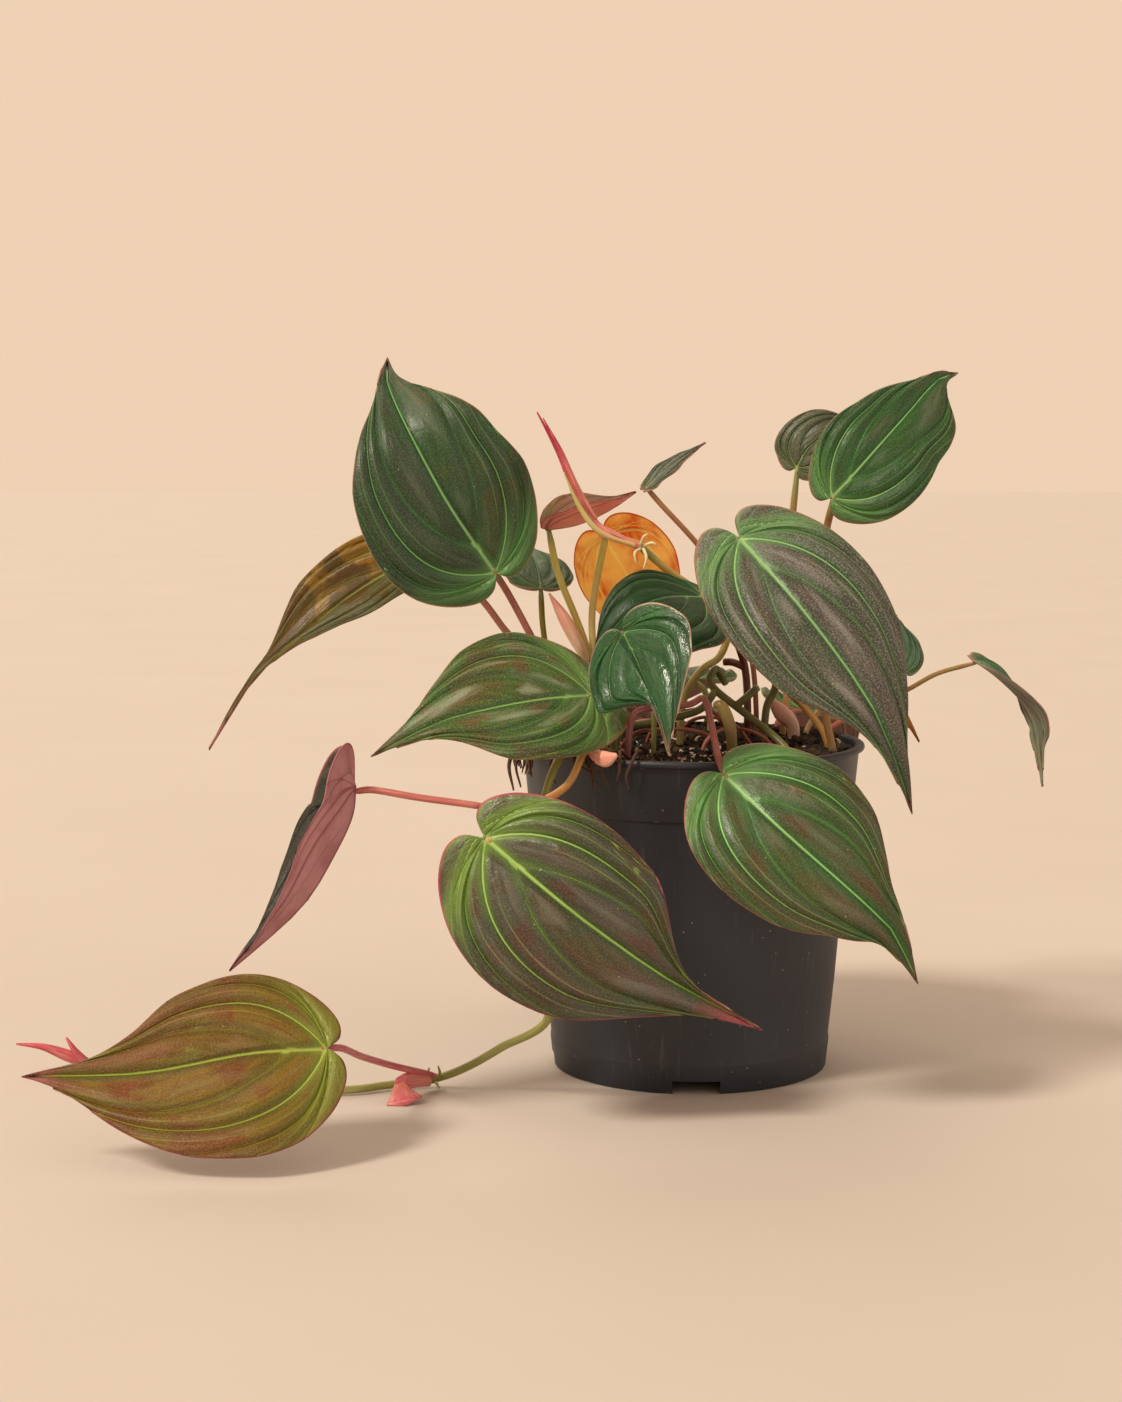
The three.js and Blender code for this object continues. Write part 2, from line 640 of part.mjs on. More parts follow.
// Petioles that grow from the trailing vine end on its skin
const VINE_PETIOLES = {
  petiole_inrolled: {
    radius: 1.2, leaf: 'leaf_inrolled',
    points: [[-52, -63, 94], [-56, -69, 97], [-70, -82, 102], [-90, -83, 105], [-104, -80.5, 107]],
  },
  petiole_bronze: {
    radius: 1.2, leaf: 'leaf_bronze',
    points: [[-87, -40, 4], [-90, -43, 6], [-100, -60, 13], [-108, -84, 22], [-113, -105, 30]],
  },
};
for (const [name, { radius, leaf, points }] of Object.entries(VINE_PETIOLES)) {
  const path = [...points, leafBase(leaf)];
  const solid = cutAtLeaf(tubeSolid(path, radius), leaf).subtract(keepClear.vine_trailing);
  keepClear[name] = tubeSolid(path, radius + GAP);
  addPiece(name, toGeometry(largestBody(solid)), PINK_STEM, 0.5);
}

// Spears, sheaths and roots: rods that swell and taper along a curve

function taperedSolid({ points, radii, flat = 1, sides = 8, steps = 9 }) {
  const path = curveThrough(points);
  const frames = path.computeFrenetFrames(steps, false);
  const widths = curveThrough(radii.map((radius, i) => [i, radius, 0]));
  const positions = [];
  const indices = [];
  for (let i = 0; i <= steps; i += 1) {
    const at = path.getPointAt(i / steps);
    const radius = widths.getPoint(i / steps).y;
    for (let k = 0; k < sides; k += 1) {
      const angle = (2 * Math.PI * k) / sides;
      const rim = at.clone()
        .addScaledVector(frames.normals[i], radius * Math.cos(angle))
        .addScaledVector(frames.binormals[i], radius * flat * Math.sin(angle));
      positions.push(rim.x, rim.y, rim.z);
    }
  }
  for (const end of [0, 1]) {
    const at = path.getPointAt(end);
    positions.push(at.x, at.y, at.z);
  }
  const root = (steps + 1) * sides;
  for (let k = 0; k < sides; k += 1) {
    const next = (k + 1) % sides;
    for (let i = 0; i < steps; i += 1) {
      const a = i * sides;
      const b = a + sides;
      indices.push(a + k, a + next, b + next, a + k, b + next, b + k);
    }
    indices.push(root, next, k, root + 1, steps * sides + k, steps * sides + next);
  }
  const geometry = new THREE.BufferGeometry();
  geometry.setAttribute('position', new THREE.Float32BufferAttribute(positions, 3));
  geometry.setIndex(indices);
  return toSolid(geometry);
}

const PINK = 0xd0566a;
const PALE_PINK = 0xe0a08c;

const SHEATHS = {
  spear_crown: {
    colour: PINK, clearOf: ['stem_crown'],
    rods: [
      {
        points: [
          [-17, -8.5, 180], [-27, -12, 184.5], [-34, -12, 189], [-41, -15, 202], [-46, -17, 213],
          [-53, -20, 226],
        ],
        radii: [1.9, 1.9, 2.3, 2.1, 1.2, 0.35],
      },
      {
        points: [[-22, -10.5, 182.3], [-31, -11, 188], [-37, -12, 196], [-42, -14, 207]],
        radii: [1.6, 1.7, 1.4, 0.4], steps: 6,
      },
    ],
  },
  spear_vine: {
    colour: PINK, clearOf: ['vine_trailing'],
    rods: [
      {
        points: [[-209, -16, 3], [-215, -18, 6], [-223, -20, 9.5], [-232, -20, 10.5]],
        radii: [1.9, 2.1, 1.2, 0.35], steps: 6,
      },
      {
        points: [[-209, -17, 3.4], [-212, -18.5, 7.5], [-215, -19, 12.5]],
        radii: [1.7, 1.2, 0.35], steps: 4,
      },
    ],
  },
  bract_vine: {
    colour: 0xd4757c, clearOf: ['vine_trailing', 'petiole_bronze'],
    rods: [
      {
        points: [[-88.8, -43.2, 3.4], [-93, -48.5, 5], [-96.5, -52, 5.8], [-99.5, -54.5, 6.2]],
        radii: [1.7, 2.3, 2.8, 1.2], flat: 0.5, steps: 6,
      },
      {
        points: [[-98.5, -53.5, 6.6], [-97.5, -56.5, 3.6], [-96.3, -60.5, 1.4]],
        radii: [1.1, 3.4, 6.2], flat: 0.14, steps: 5,
      },
    ],
  },
  sheath_middle: {
    colour: PALE_PINK, clearOf: ['stem_middle'],
    rods: [{
      points: [[-36, -4, 141], [-39, -4.7, 147], [-44, -6, 156], [-49, -7, 164.5]],
      radii: [1.4, 3.2, 3, 0.5], flat: 0.7, steps: 7,
    }],
  },
  sheath_rim: {
    colour: PALE_PINK, clearOf: ['petiole_front'],
    rods: [{
      points: [[-36, -49.5, 115.4], [-33, -52, 113.8], [-30, -55, 113.6], [-27, -58, 115.2]],
      radii: [1, 2.4, 2.6, 0.8], flat: 0.6, steps: 6,
    }],
  },
  sheath_cream: {
    colour: PALE_PINK, clearOf: ['petiole_velvet'], foot: [36, 7, 2.2],
    rods: [{
      points: [[36, 7, 106], [36, 6.5, 117], [32, 7, 122], [28, 7.5, 127]],
      radii: [1.6, 2.3, 2.8, 0.8], flat: 0.65, steps: 7,
    }],
  },
  bud_front: {
    colour: 0x9aa05a, clearOf: ['petiole_front_right'], foot: [12, -34, 1.9],
    rods: [
      {
        points: [[12, -34, 104], [12, -34, 116], [11, -34, 123], [8.5, -33, 128.5], [6, -32, 129]],
        radii: [1.7, 1.8, 2, 1.9, 0.9], steps: 8,
      },
    ],
  },
};
for (const [name, { rods, clearOf, colour, foot }] of Object.entries(SHEATHS)) {
  let solid = rods.map(taperedSolid).reduce((whole, rod) => whole.add(rod));
  for (const neighbour of clearOf) solid = solid.subtract(keepClear[neighbour]);
  if (foot) feet.push({ x: foot[0], y: foot[1], radius: foot[2] });
  addPiece(name, toGeometry(largestBody(solid)), colour, 0.45);
}

// Dry aerial roots that hang over the rim at the left
const ROOT_PATHS = [
  [[-46, -20], [-50, -24, 116.6], [-55.5, -27.5, 116], [-60, -30, 109], [-58.5, -31, 101]],
  [[-50, -24, 116.6], [-58, -22, 115.3], [-62.5, -22, 108], [-61, -25, 99]],
  [[-55.5, -27.5, 116], [-56, -33, 113.8], [-55, -38, 106]],
];
const ROOT_RADIUS = 0.8;
const roots = ROOT_PATHS
  .map((points) => tubeSolid(stemPath(points), ROOT_RADIUS))
  .reduce((whole, part) => whole.add(part));
feet.push({ x: ROOT_PATHS[0][0][0], y: ROOT_PATHS[0][0][1], radius: ROOT_RADIUS });
addPiece('roots_rim', toGeometry(largestBody(roots)), 0x3a2418, 0.9);

// The pot: one turned shell, with drainage slots and notches in its foot ring
const collarBottom = POT_HEIGHT - COLLAR_HEIGHT;

function wallRadius(height) {
  const top = RIM_RADIUS - 1.7;
  return BASE_RADIUS + ((top - BASE_RADIUS) * height) / POT_HEIGHT;
}

function potProfile() {
  const inner = (height) => wallRadius(height) - POT_WALL - 0.3;
  const beadBottom = POT_HEIGHT - RIM_BEAD_HEIGHT;
  return [
    [0, 0], [PAD_RADIUS, 0], [PAD_RADIUS + 2.5, FLOOR_HEIGHT], [BASE_RADIUS - POT_WALL - 0.6, FLOOR_HEIGHT],
    [BASE_RADIUS - POT_WALL - 1, 0], [BASE_RADIUS - 0.6, 0], [BASE_RADIUS, 0.8],
    [wallRadius(FOOT_STEP_HEIGHT), FOOT_STEP_HEIGHT],
    [wallRadius(FOOT_STEP_HEIGHT) - 0.3, FOOT_STEP_HEIGHT + 0.4],
    [wallRadius(collarBottom) - COLLAR_STEP, collarBottom], [wallRadius(collarBottom), collarBottom + 0.8],
    [wallRadius(beadBottom), beadBottom], [RIM_RADIUS - 0.5, beadBottom], [RIM_RADIUS, beadBottom + 0.6],
    [RIM_RADIUS, POT_HEIGHT - 0.7], [RIM_RADIUS - 0.6, POT_HEIGHT], [inner(POT_HEIGHT) + 0.3, POT_HEIGHT],
    [inner(POT_HEIGHT - 1), POT_HEIGHT - 1], [inner(collarBottom), collarBottom],
    [inner(collarBottom) - COLLAR_STEP + 0.3, collarBottom - 1],
    [inner(FLOOR_HEIGHT) - 0.3, FLOOR_HEIGHT + POT_WALL],
    [PAD_RADIUS + 1.8, FLOOR_HEIGHT + POT_WALL], [PAD_RADIUS - 0.7, POT_WALL], [0, POT_WALL],
  ];
}

const lathe = new THREE.LatheGeometry(potProfile().map(([r, z]) => new THREE.Vector2(r, z)), POT_SIDES);
lathe.rotateX(Math.PI / 2);
let pot = toSolid(lathe);
for (let i = 0; i < NOTCH_COUNT; i += 1) {
  const notch = new THREE.BoxGeometry(NOTCH_WIDTH, NOTCH_DEPTH, 2 * NOTCH_HEIGHT);
  notch.translate(0, -BASE_RADIUS, 0);
  notch.rotateZ((2 * Math.PI * i) / NOTCH_COUNT);
  pot = pot.subtract(toSolid(notch));
}
for (let i = 0; i < SLOT_COUNT; i += 1) {
  const slot = new THREE.CylinderGeometry(SLOT_RADIUS, SLOT_RADIUS, SLOT_CUT_LENGTH, SLOT_SIDES);
  slot.rotateX(Math.PI / 2);
  slot.translate(SLOT_CIRCLE, 0, FLOOR_HEIGHT);
  slot.rotateZ((2 * Math.PI * (i + 0.5)) / SLOT_COUNT);
  pot = pot.subtract(toSolid(slot));
}
addPiece('pot', toGeometry(pot), 0x2b2c30, 0.5);

// The soil: a plug that fills the pot to just under the rim, with a lumpy top
function soilGeometry() {
  const clear = POT_WALL + 0.6 + GAP;
  const below = (height) => wallRadius(height) - clear - COLLAR_STEP;
  const bottom = FLOOR_HEIGHT + POT_WALL + GAP;
  const edge = wallRadius(SOIL_LEVEL) - clear;
  const rings = [
    [below(bottom) - 0.4, bottom], [below(collarBottom - 2), collarBottom - 2],
    [wallRadius(collarBottom + 2) - clear, collarBottom + 2], [edge, SOIL_LEVEL - 1.5],
  ];
  const topRadii = [0.93, 0.82, 0.7, 0.57, 0.43, 0.29, 0.15].map((share) => edge * share);
  const positions = [];
  const indices = [];
  const ringPoint = (radius, k) => {
    const angle = (2 * Math.PI * k) / SOIL_SIDES;
    return [radius * Math.cos(angle), radius * Math.sin(angle)];
  };
  for (const [radius, height] of rings) {
    for (let k = 0; k < SOIL_SIDES; k += 1) positions.push(...ringPoint(radius, k), height);
  }
  for (const radius of topRadii) {
    for (let k = 0; k < SOIL_SIDES; k += 1) {
      const [x, y] = ringPoint(radius, k);
      positions.push(x, y, soilHeight(x, y));
    }
  }
  const ringCount = rings.length + topRadii.length;
  const bottomCentre = ringCount * SOIL_SIDES;
  positions.push(0, 0, bottom, 0, 0, soilHeight(0, 0));
  for (let k = 0; k < SOIL_SIDES; k += 1) {
    const next = (k + 1) % SOIL_SIDES;
    for (let i = 0; i < ringCount - 1; i += 1) {
      const a = i * SOIL_SIDES;
      const b = a + SOIL_SIDES;
      indices.push(a + k, a + next, b + next, a + k, b + next, b + k);
    }
    const last = (ringCount - 1) * SOIL_SIDES;
    indices.push(bottomCentre, next, k, bottomCentre + 1, last + k, last + next);
  }
  const geometry = new THREE.BufferGeometry();
  geometry.setAttribute('position', new THREE.Float32BufferAttribute(positions, 3));
  geometry.setIndex(indices);
  return geometry;
}

let soil = toSolid(soilGeometry());
for (const { x, y, radius } of feet) {
  const wide = (radius + HOLE_GAP) / Math.cos(Math.PI / HOLE_SIDES);
  const hole = new THREE.CylinderGeometry(wide, wide, 30, HOLE_SIDES);
  hole.rotateX(Math.PI / 2);
  hole.translate(x, y, FOOT_BOTTOM - GAP + 15);
  soil = soil.subtract(toSolid(hole));
}
addPiece('soil', toGeometry(largestBody(soil)), 0x2a1f1a, 0.95);

export default group;
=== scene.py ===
import math

import bpy
import numpy as np
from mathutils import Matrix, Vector


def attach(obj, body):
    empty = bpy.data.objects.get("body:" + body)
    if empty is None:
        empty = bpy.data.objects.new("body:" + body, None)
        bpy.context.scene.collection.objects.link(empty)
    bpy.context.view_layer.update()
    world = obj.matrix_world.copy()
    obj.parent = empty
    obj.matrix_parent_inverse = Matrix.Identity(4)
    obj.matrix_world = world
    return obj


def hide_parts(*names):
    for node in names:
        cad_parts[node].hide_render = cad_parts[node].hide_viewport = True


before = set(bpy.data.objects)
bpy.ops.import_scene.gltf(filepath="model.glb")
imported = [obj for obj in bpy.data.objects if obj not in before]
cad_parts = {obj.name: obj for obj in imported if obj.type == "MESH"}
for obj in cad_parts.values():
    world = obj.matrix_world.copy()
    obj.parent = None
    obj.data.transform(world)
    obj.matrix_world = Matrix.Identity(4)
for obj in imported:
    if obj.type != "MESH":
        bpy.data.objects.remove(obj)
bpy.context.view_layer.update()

# The photograph is taken from just above the rim, a little to the left of the pot,
# with a moderately long lens. The camera stands there and looks down by a few degrees.
PHOTO_LONG_SIDE = 1402
FOCAL_PIXELS = 2520
SENSOR_WIDTH = 36
LOOKS_DOWN = 6
camera_data = bpy.data.cameras.new("camera")
camera_data.sensor_fit = "AUTO"
camera_data.sensor_width = SENSOR_WIDTH
camera_data.lens = SENSOR_WIDTH * FOCAL_PIXELS / PHOTO_LONG_SIDE
camera = bpy.data.objects.new("camera", camera_data)
camera.location = (-0.045, -0.868, 0.218)
camera.rotation_euler = (math.radians(90 - LOOKS_DOWN), 0, 0)
bpy.context.scene.collection.objects.link(camera)
bpy.context.scene.camera = camera

# The plant stands on a plain pale floor, in broad soft daylight from the upper left, with
# a weaker fill from the right and a warm light from behind that shines through thin leaves.


def linear(code):
    """A colour written as six hexadecimal digits, as the shader's linear numbers."""
    parts = [int(code[i:i + 2], 16) / 255 for i in (0, 2, 4)]
    return tuple(c / 12.92 if c <= 0.04045 else ((c + 0.055) / 1.055) ** 2.4 for c in parts) + (1,)


def add_sun(name, direction, softness, strength, colour):
    data = bpy.data.lights.new(name, "SUN")
    data.angle = math.radians(softness)
    data.energy = strength
    data.color = linear(colour)[:3]
    lamp = bpy.data.objects.new(name, data)
    lamp.rotation_euler = Vector(direction).to_track_quat("-Z", "Y").to_euler()
    lamp.location = [-c for c in direction]
    bpy.context.scene.collection.objects.link(lamp)


add_sun("key", (1.0, 0.75, -1.25), 14, 2.5, "fff2e0")
add_sun("fill", (-1.0, 0.9, -0.5), 60, 0.3, "f0f4ff")
add_sun("back", (0.35, -1.0, -0.8), 40, 0.7, "ffeed8")


def put(tree, socket, value):
    """Link another node's output to the socket, or set a value or a colour code on it."""
    if isinstance(value, bpy.types.NodeSocket):
        tree.links.new(value, socket)
    else:
        socket.default_value = linear(value) if isinstance(value, str) else value


def add_node(tree, kind, inputs, output=0, **settings):
    """A new node with its settings and its inputs, handed back as one of its outputs."""
    node = tree.nodes.new(kind)
    for key, value in settings.items():
        setattr(node, key, value)
    for key, value in inputs.items():
        put(tree, node.inputs[key], value)
    return node.outputs[output]


# The room's own light is warm and even. It is a little stronger where the camera looks
# straight at it, so that the far wall is as pale as the floor.
ROOM_COLOUR = "fadbbd"
ROOM_LIGHT, ROOM_SEEN = 0.66, 0.9
world = bpy.data.worlds.new("pale_room")
world.use_nodes = True
room = world.node_tree
seen = add_node(room, "ShaderNodeLightPath", {}, "Is Camera Ray")
shine = add_node(room, "ShaderNodeMapRange", {"Value": seen, "To Min": ROOM_LIGHT, "To Max": ROOM_SEEN})
put(room, room.nodes["Background"].inputs["Color"], ROOM_COLOUR)
put(room, room.nodes["Background"].inputs["Strength"], shine)
bpy.context.scene.world = world
bpy.context.scene.view_settings.view_transform = "Standard"

# The floor is one wide flat sheet, painted in a pale matt plaster colour. It carries the
# shadow of the plant and is not part of it.


def mesh_object(name, points, faces, smooth=True):
    """A mesh object whose points are in millimetres in the frame's own place."""
    mesh = bpy.data.meshes.new(name)
    mesh.from_pydata((np.asarray(points) * 0.001).tolist(), [], faces)
    mesh.polygons.foreach_set("use_smooth", [smooth] * len(mesh.polygons))
    mesh.update()
    piece = bpy.data.objects.new(name, mesh)
    bpy.context.scene.collection.objects.link(piece)
    return piece


class Finish:
    """One node material, with short calls for the nodes that the finishes here use."""

    def __init__(self, name, roughness=0.5):
        self.material = bpy.data.materials.new(name)
        self.material.use_nodes = True
        self.tree = self.material.node_tree
        self.shader = self.tree.nodes["Principled BSDF"]
        self.set("Roughness", roughness)

    def set(self, name, value):
        put(self.tree, self.shader.inputs[name], value)

    def add(self, kind, inputs, output, **settings):
        return add_node(self.tree, "ShaderNode" + kind, inputs, output, **settings)

    def attribute(self, name, output="Fac"):
        return self.add("Attribute", {}, output, attribute_name=name)

    def place(self):
        return self.add("TexCoord", {}, "Object")

    def stretched(self, vector, scale):
        return self.add("Mapping", {"Vector": vector, "Scale": scale}, "Vector")

    def noise(self, vector, scale, detail=3, distortion=0.0):
        inputs = {"Vector": vector, "Scale": scale, "Detail": detail, "Distortion": distortion}
        return self.add("TexNoise", inputs, "Fac")

    def dots(self, vector, scale, radius, share):
        """Small round dots: one in a share of the cells of a random grid."""
        distance = self.add("TexVoronoi", {"Vector": vector, "Scale": scale}, "Distance")
        pick = self.add("SeparateColor", {"Color": distance.node.outputs["Color"]}, "Red")
        near = self.remap(distance, radius, radius * 0.6)
        return self.times(near, self.remap(pick, share, share * 0.98))

    def remap(self, value, low, high, to_low=0.0, to_high=1.0):
        inputs = dict(enumerate((value, low, high, to_low, to_high)))
        return self.add("MapRange", inputs, "Result", interpolation_type="SMOOTHSTEP")

    def times(self, first, second):
        return self.add("Math", {0: first, 1: second}, 0, operation="MULTIPLY")

    def mix(self, share, first, second):
        return self.add("Mix", {0: share, 6: first, 7: second}, 2, data_type="RGBA")

    def tint(self, colour):
        """The base colour, under all that is painted over it."""
        self.base = colour
        self.set("Base Color", colour)

    def paint(self, share, colour):
        self.tint(self.mix(share, self.base, colour))

    def bump(self, height, distance_mm, strength=1.0, below=None):
        inputs = {"Strength": strength, "Distance": distance_mm * 0.001, "Height": height}
        if below is not None:
            inputs["Normal"] = below
        return self.add("Bump", inputs, "Normal")

    def glow(self, colour, share):
        """Let a share of the light pass through a thin blade."""
        through = self.add("BsdfTranslucent", {"Color": colour}, 0)
        both = self.add("MixShader", {0: share, 1: self.shader.outputs[0], 2: through}, 0)
        put(self.tree, self.tree.nodes["Material Output"].inputs["Surface"], both)


FLOOR_REACH = 9000
floor_corners = [(x * FLOOR_REACH, y * FLOOR_REACH, 0) for x, y in ((-1, -1), (1, -1), (1, 1), (-1, 1))]
floor = mesh_object("floor", floor_corners, [(0, 1, 2, 3)])
plaster = Finish("pale_floor", roughness=0.75)
plaster.tint(plaster.mix(plaster.noise(plaster.place(), 6, 4), "cfc6bd", "c8beb4"))
floor.data.materials.append(plaster.material)

# Each leaf is a soft heart shaped blade under a millimetre thick, with a sunken midrib and
# arching veins, quilted between them, a thin pink margin and a drawn out drip tip.
# The velvety upper face is green beside the veins and browner between them; the back is pink.
MARGIN = [
    (1, 0), (0.90, 0.03), (0.79, 0.085), (0.66, 0.17), (0.50, 0.255), (0.30, 0.30),
    (0.14, 0.275), (0.02, 0.20), (-0.045, 0.11), (-0.048, 0.04), (0, 0),
]
VEIN_BOW = [
    (1, 0), (0.42, 0.235), (0.24, 0.33), (0.12, 0.35), (0.06, 0.33), (0.05, 0.27),
    (0.015, 0.18), (-0.01, 0.10), (-0.025, 0.05), (-0.02, 0.02), (0, 0),
]
VEIN_START_POWER = 9.5
HALF_WIDTH = 0.31
PLEAT = 0.015
FRILL = 0.35
FRILL_COUNT = 2.5
VEINS = {0.10: (0.09, 0.75), 0.22: (0.14, 1), 0.40: (0.13, 0.9), 0.62: (0.1, 0.7)}
FINE_VEINS = [0.16, 0.31, 0.51, 0.76]
NECK_SPAN = 0.35
PLEAT_ENDS = [0, 0.10, 0.22, 0.40, 0.62, 1]
BLADE_THICKNESS = 0.5
USUAL_LENGTH = 75
FAR_AWAY = 9.0
RIB_SAMPLES = 401
LINES = 81
ROWS = 25


def spline(points, share):
    """A Catmull-Rom curve through the points, with shares 0 to 1 spread evenly over them."""
    points = np.asarray(points, float)
    padded = np.vstack([2 * points[0] - points[1], points, 2 * points[-1] - points[-2]])
    at = np.clip(np.asarray(share, float), 0, 1) * (len(points) - 1)
    first = np.minimum(at.astype(int), len(points) - 2)
    t = (at - first)[..., None]
    a, b, c, d = (padded[first + k] for k in range(4))
    bend = (2 * a - 5 * b + 4 * c - d) * t**2 + (3 * b - a - 3 * c + d) * t**3
    return 0.5 * (2 * b + (c - a) * t + bend)


def unit(vectors):
    return vectors / np.maximum(np.linalg.norm(vectors, axis=-1, keepdims=True), 1e-9)


def smooth_step(value):
    value = np.clip(value, 0, 1)
    return value * value * (3 - 2 * value)


def rib_frame(leaf, along):
    """Place, direction, face normal and left side of the midrib, and its length."""
    path = spline(leaf["rib"], np.linspace(0, 1, RIB_SAMPLES))
    steps = np.linalg.norm(np.diff(path, axis=0), axis=1)
    travelled = np.concatenate([[0], np.cumsum(steps)])
    length = travelled[-1]
    tangents = unit(np.gradient(path, axis=0))
    reach = np.clip(along, 0, 1) * length
    place = np.stack([np.interp(reach, travelled, path[:, k]) for k in range(3)], -1)
    tangent = unit(np.stack([np.interp(reach, travelled, tangents[:, k]) for k in range(3)], -1))
    place = place + tangent * (np.minimum(along, 0) * length)[..., None]
    face = unit(np.array(leaf["face"], float))
    tip_face = unit(np.array(leaf.get("tip_face", leaf["face"]), float))
    share = np.clip(along, 0, 1)[..., None] ** leaf["turn"]
    normal = face * (1 - share) + tip_face * share
    normal = unit(normal - tangent * np.sum(normal * tangent, -1, keepdims=True))
    left = np.cross(normal, tangent)
    return place, tangent, normal, left, length


def flat_leaf(line, reach, lobe):
    """Where a point of the fan lies on the flat leaf, as shares of the midrib's length."""
    margin = spline(MARGIN, line)
    bow = spline(VEIN_BOW, line)
    back = lobe * 0.1 * np.sin(np.pi * np.clip(2 * line - 1, 0, 1))
    start = np.clip(1 - 2 * line, 0, None) ** VEIN_START_POWER
    near, middle, far = (1 - reach) ** 2, 2 * reach * (1 - reach), reach**2
    along = near * start + middle * (bow[..., 0] - back / 2) + far * (margin[..., 0] - back)
    return along, middle * bow[..., 1] + far * margin[..., 1]


def blade_side(leaf, side, line, reach):
    """The upper surface of one side of the blade, and its points on the flat leaf."""
    which = 0 if side > 0 else 1
    lobe, neck, wide, drip, fold, cup = (
        np.broadcast_to(leaf[key], 2)[which] for key in ("lobe", "neck", "wide", "drip", "fold", "cup"))
    along, across = flat_leaf(line, reach, lobe)
    across = across * wide * (1 - drip * smooth_step((along - neck) / NECK_SPAN))
    place, _, normal, left, length = rib_frame(leaf, along)
    half = HALF_WIDTH * wide * length
    out = across * length
    share = out / half
    crest = np.zeros_like(line)
    for start, end in zip(PLEAT_ENDS, PLEAT_ENDS[1:]):
        phase = np.clip((line - start) / (end - start), 0, 1)
        crest = crest + np.where((line >= start) & (line <= end), np.sin(np.pi * phase) ** 0.8, 0)
    crest = crest * np.sin(np.pi * np.clip(reach, 0, 1)) ** 0.7 * PLEAT * length * leaf["quilt"]
    start = leaf["rib"][0][0] + (0 if side > 0 else 1.3)
    frill = FRILL * share**2 * np.sin(2 * np.pi * FRILL_COUNT * along + start)
    lift = out * fold + cup * share**2 * half + crest + frill
    slant = np.sqrt(1 + (fold + cup * share) ** 2)
    points = place + left * (side * out / slant)[..., None] + normal * lift[..., None]
    flat = np.stack([along * length, side * out, np.zeros_like(out)], -1)
    return points, flat, along, length


def line_gap(flat, index):
    """How far each point lies from one line of the fan, measured on the flat leaf."""
    line = flat[index]
    direction = unit(np.gradient(line, axis=0))
    apart = flat - line
    return np.linalg.norm(apart - direction * np.sum(apart * direction, -1, keepdims=True), axis=-1)


def leaf_lines():
    """The fan's lines: a little closer together towards the first, and one on every vein and pleat end.
    """
    spread = np.linspace(0, 1, LINES) ** 1.15
    wanted = np.array(sorted(set(VEINS) | set(FINE_VEINS) | set(PLEAT_ENDS)))
    for value in wanted:
        spread[np.argmin(np.abs(spread - value))] = value
    return np.sort(spread)


def store(piece, key, values):
    """A number or a vector for each vertex, under the name by which a material reads it."""
    kind, field = ("FLOAT", "value") if values.ndim == 1 else ("FLOAT_VECTOR", "vector")
    layer = piece.data.attributes.new(key, kind, "POINT")
    layer.data.foreach_set(field, values.reshape(-1).astype(np.float32))


def leaf_values(flat, lines, line, reach, rows, along, length, side):
    """What the materials read: how far a point is from the veins and the margin, in widths."""
    middle_gap = np.abs(flat[..., 1])
    size = length / USUAL_LENGTH
    rib_width = (0.56 - 0.48 * np.clip(along, 0, 1) ** 0.42) * size + 0.06
    vein = middle_gap / rib_width
    halo = middle_gap / size
    fine = np.full_like(vein, FAR_AWAY)
    for at, (width, strength) in VEINS.items():
        gap = line_gap(flat, int(np.argmin(np.abs(lines - at))))
        weak = 1.5 - strength if strength < 1 else 0
        if at < 0.2:
            weak = weak + 3 * np.clip(0.16 - reach, 0, 1) / 0.16
        vein = np.minimum(vein, gap / (width * (1.15 - 0.7 * reach) * size + 0.06) + weak)
        halo = np.minimum(halo, gap / size)
    for at in FINE_VEINS:
        gap = line_gap(flat, int(np.argmin(np.abs(lines - at))))
        fine = np.minimum(fine, gap / (0.12 * (1.1 - 0.6 * reach) * size + 0.05))
    fine = fine / np.maximum(smooth_step((reach - 0.1) / 0.3), 0.02)
    rim_step = np.linalg.norm(flat[:, -1] - flat[:, -3], axis=-1)[:, None] / (1 - rows[-3])
    fan = np.stack([line * 40, reach * 3, np.full_like(line, side * 50.0)], -1)
    return {"vein": vein, "halo": halo, "edge": (1 - reach) * rim_step, "fine": fine,
            "crest": 1 - np.exp(-(halo / 2.6) ** 2), "reach": reach, "flat": flat, "fan": fan}


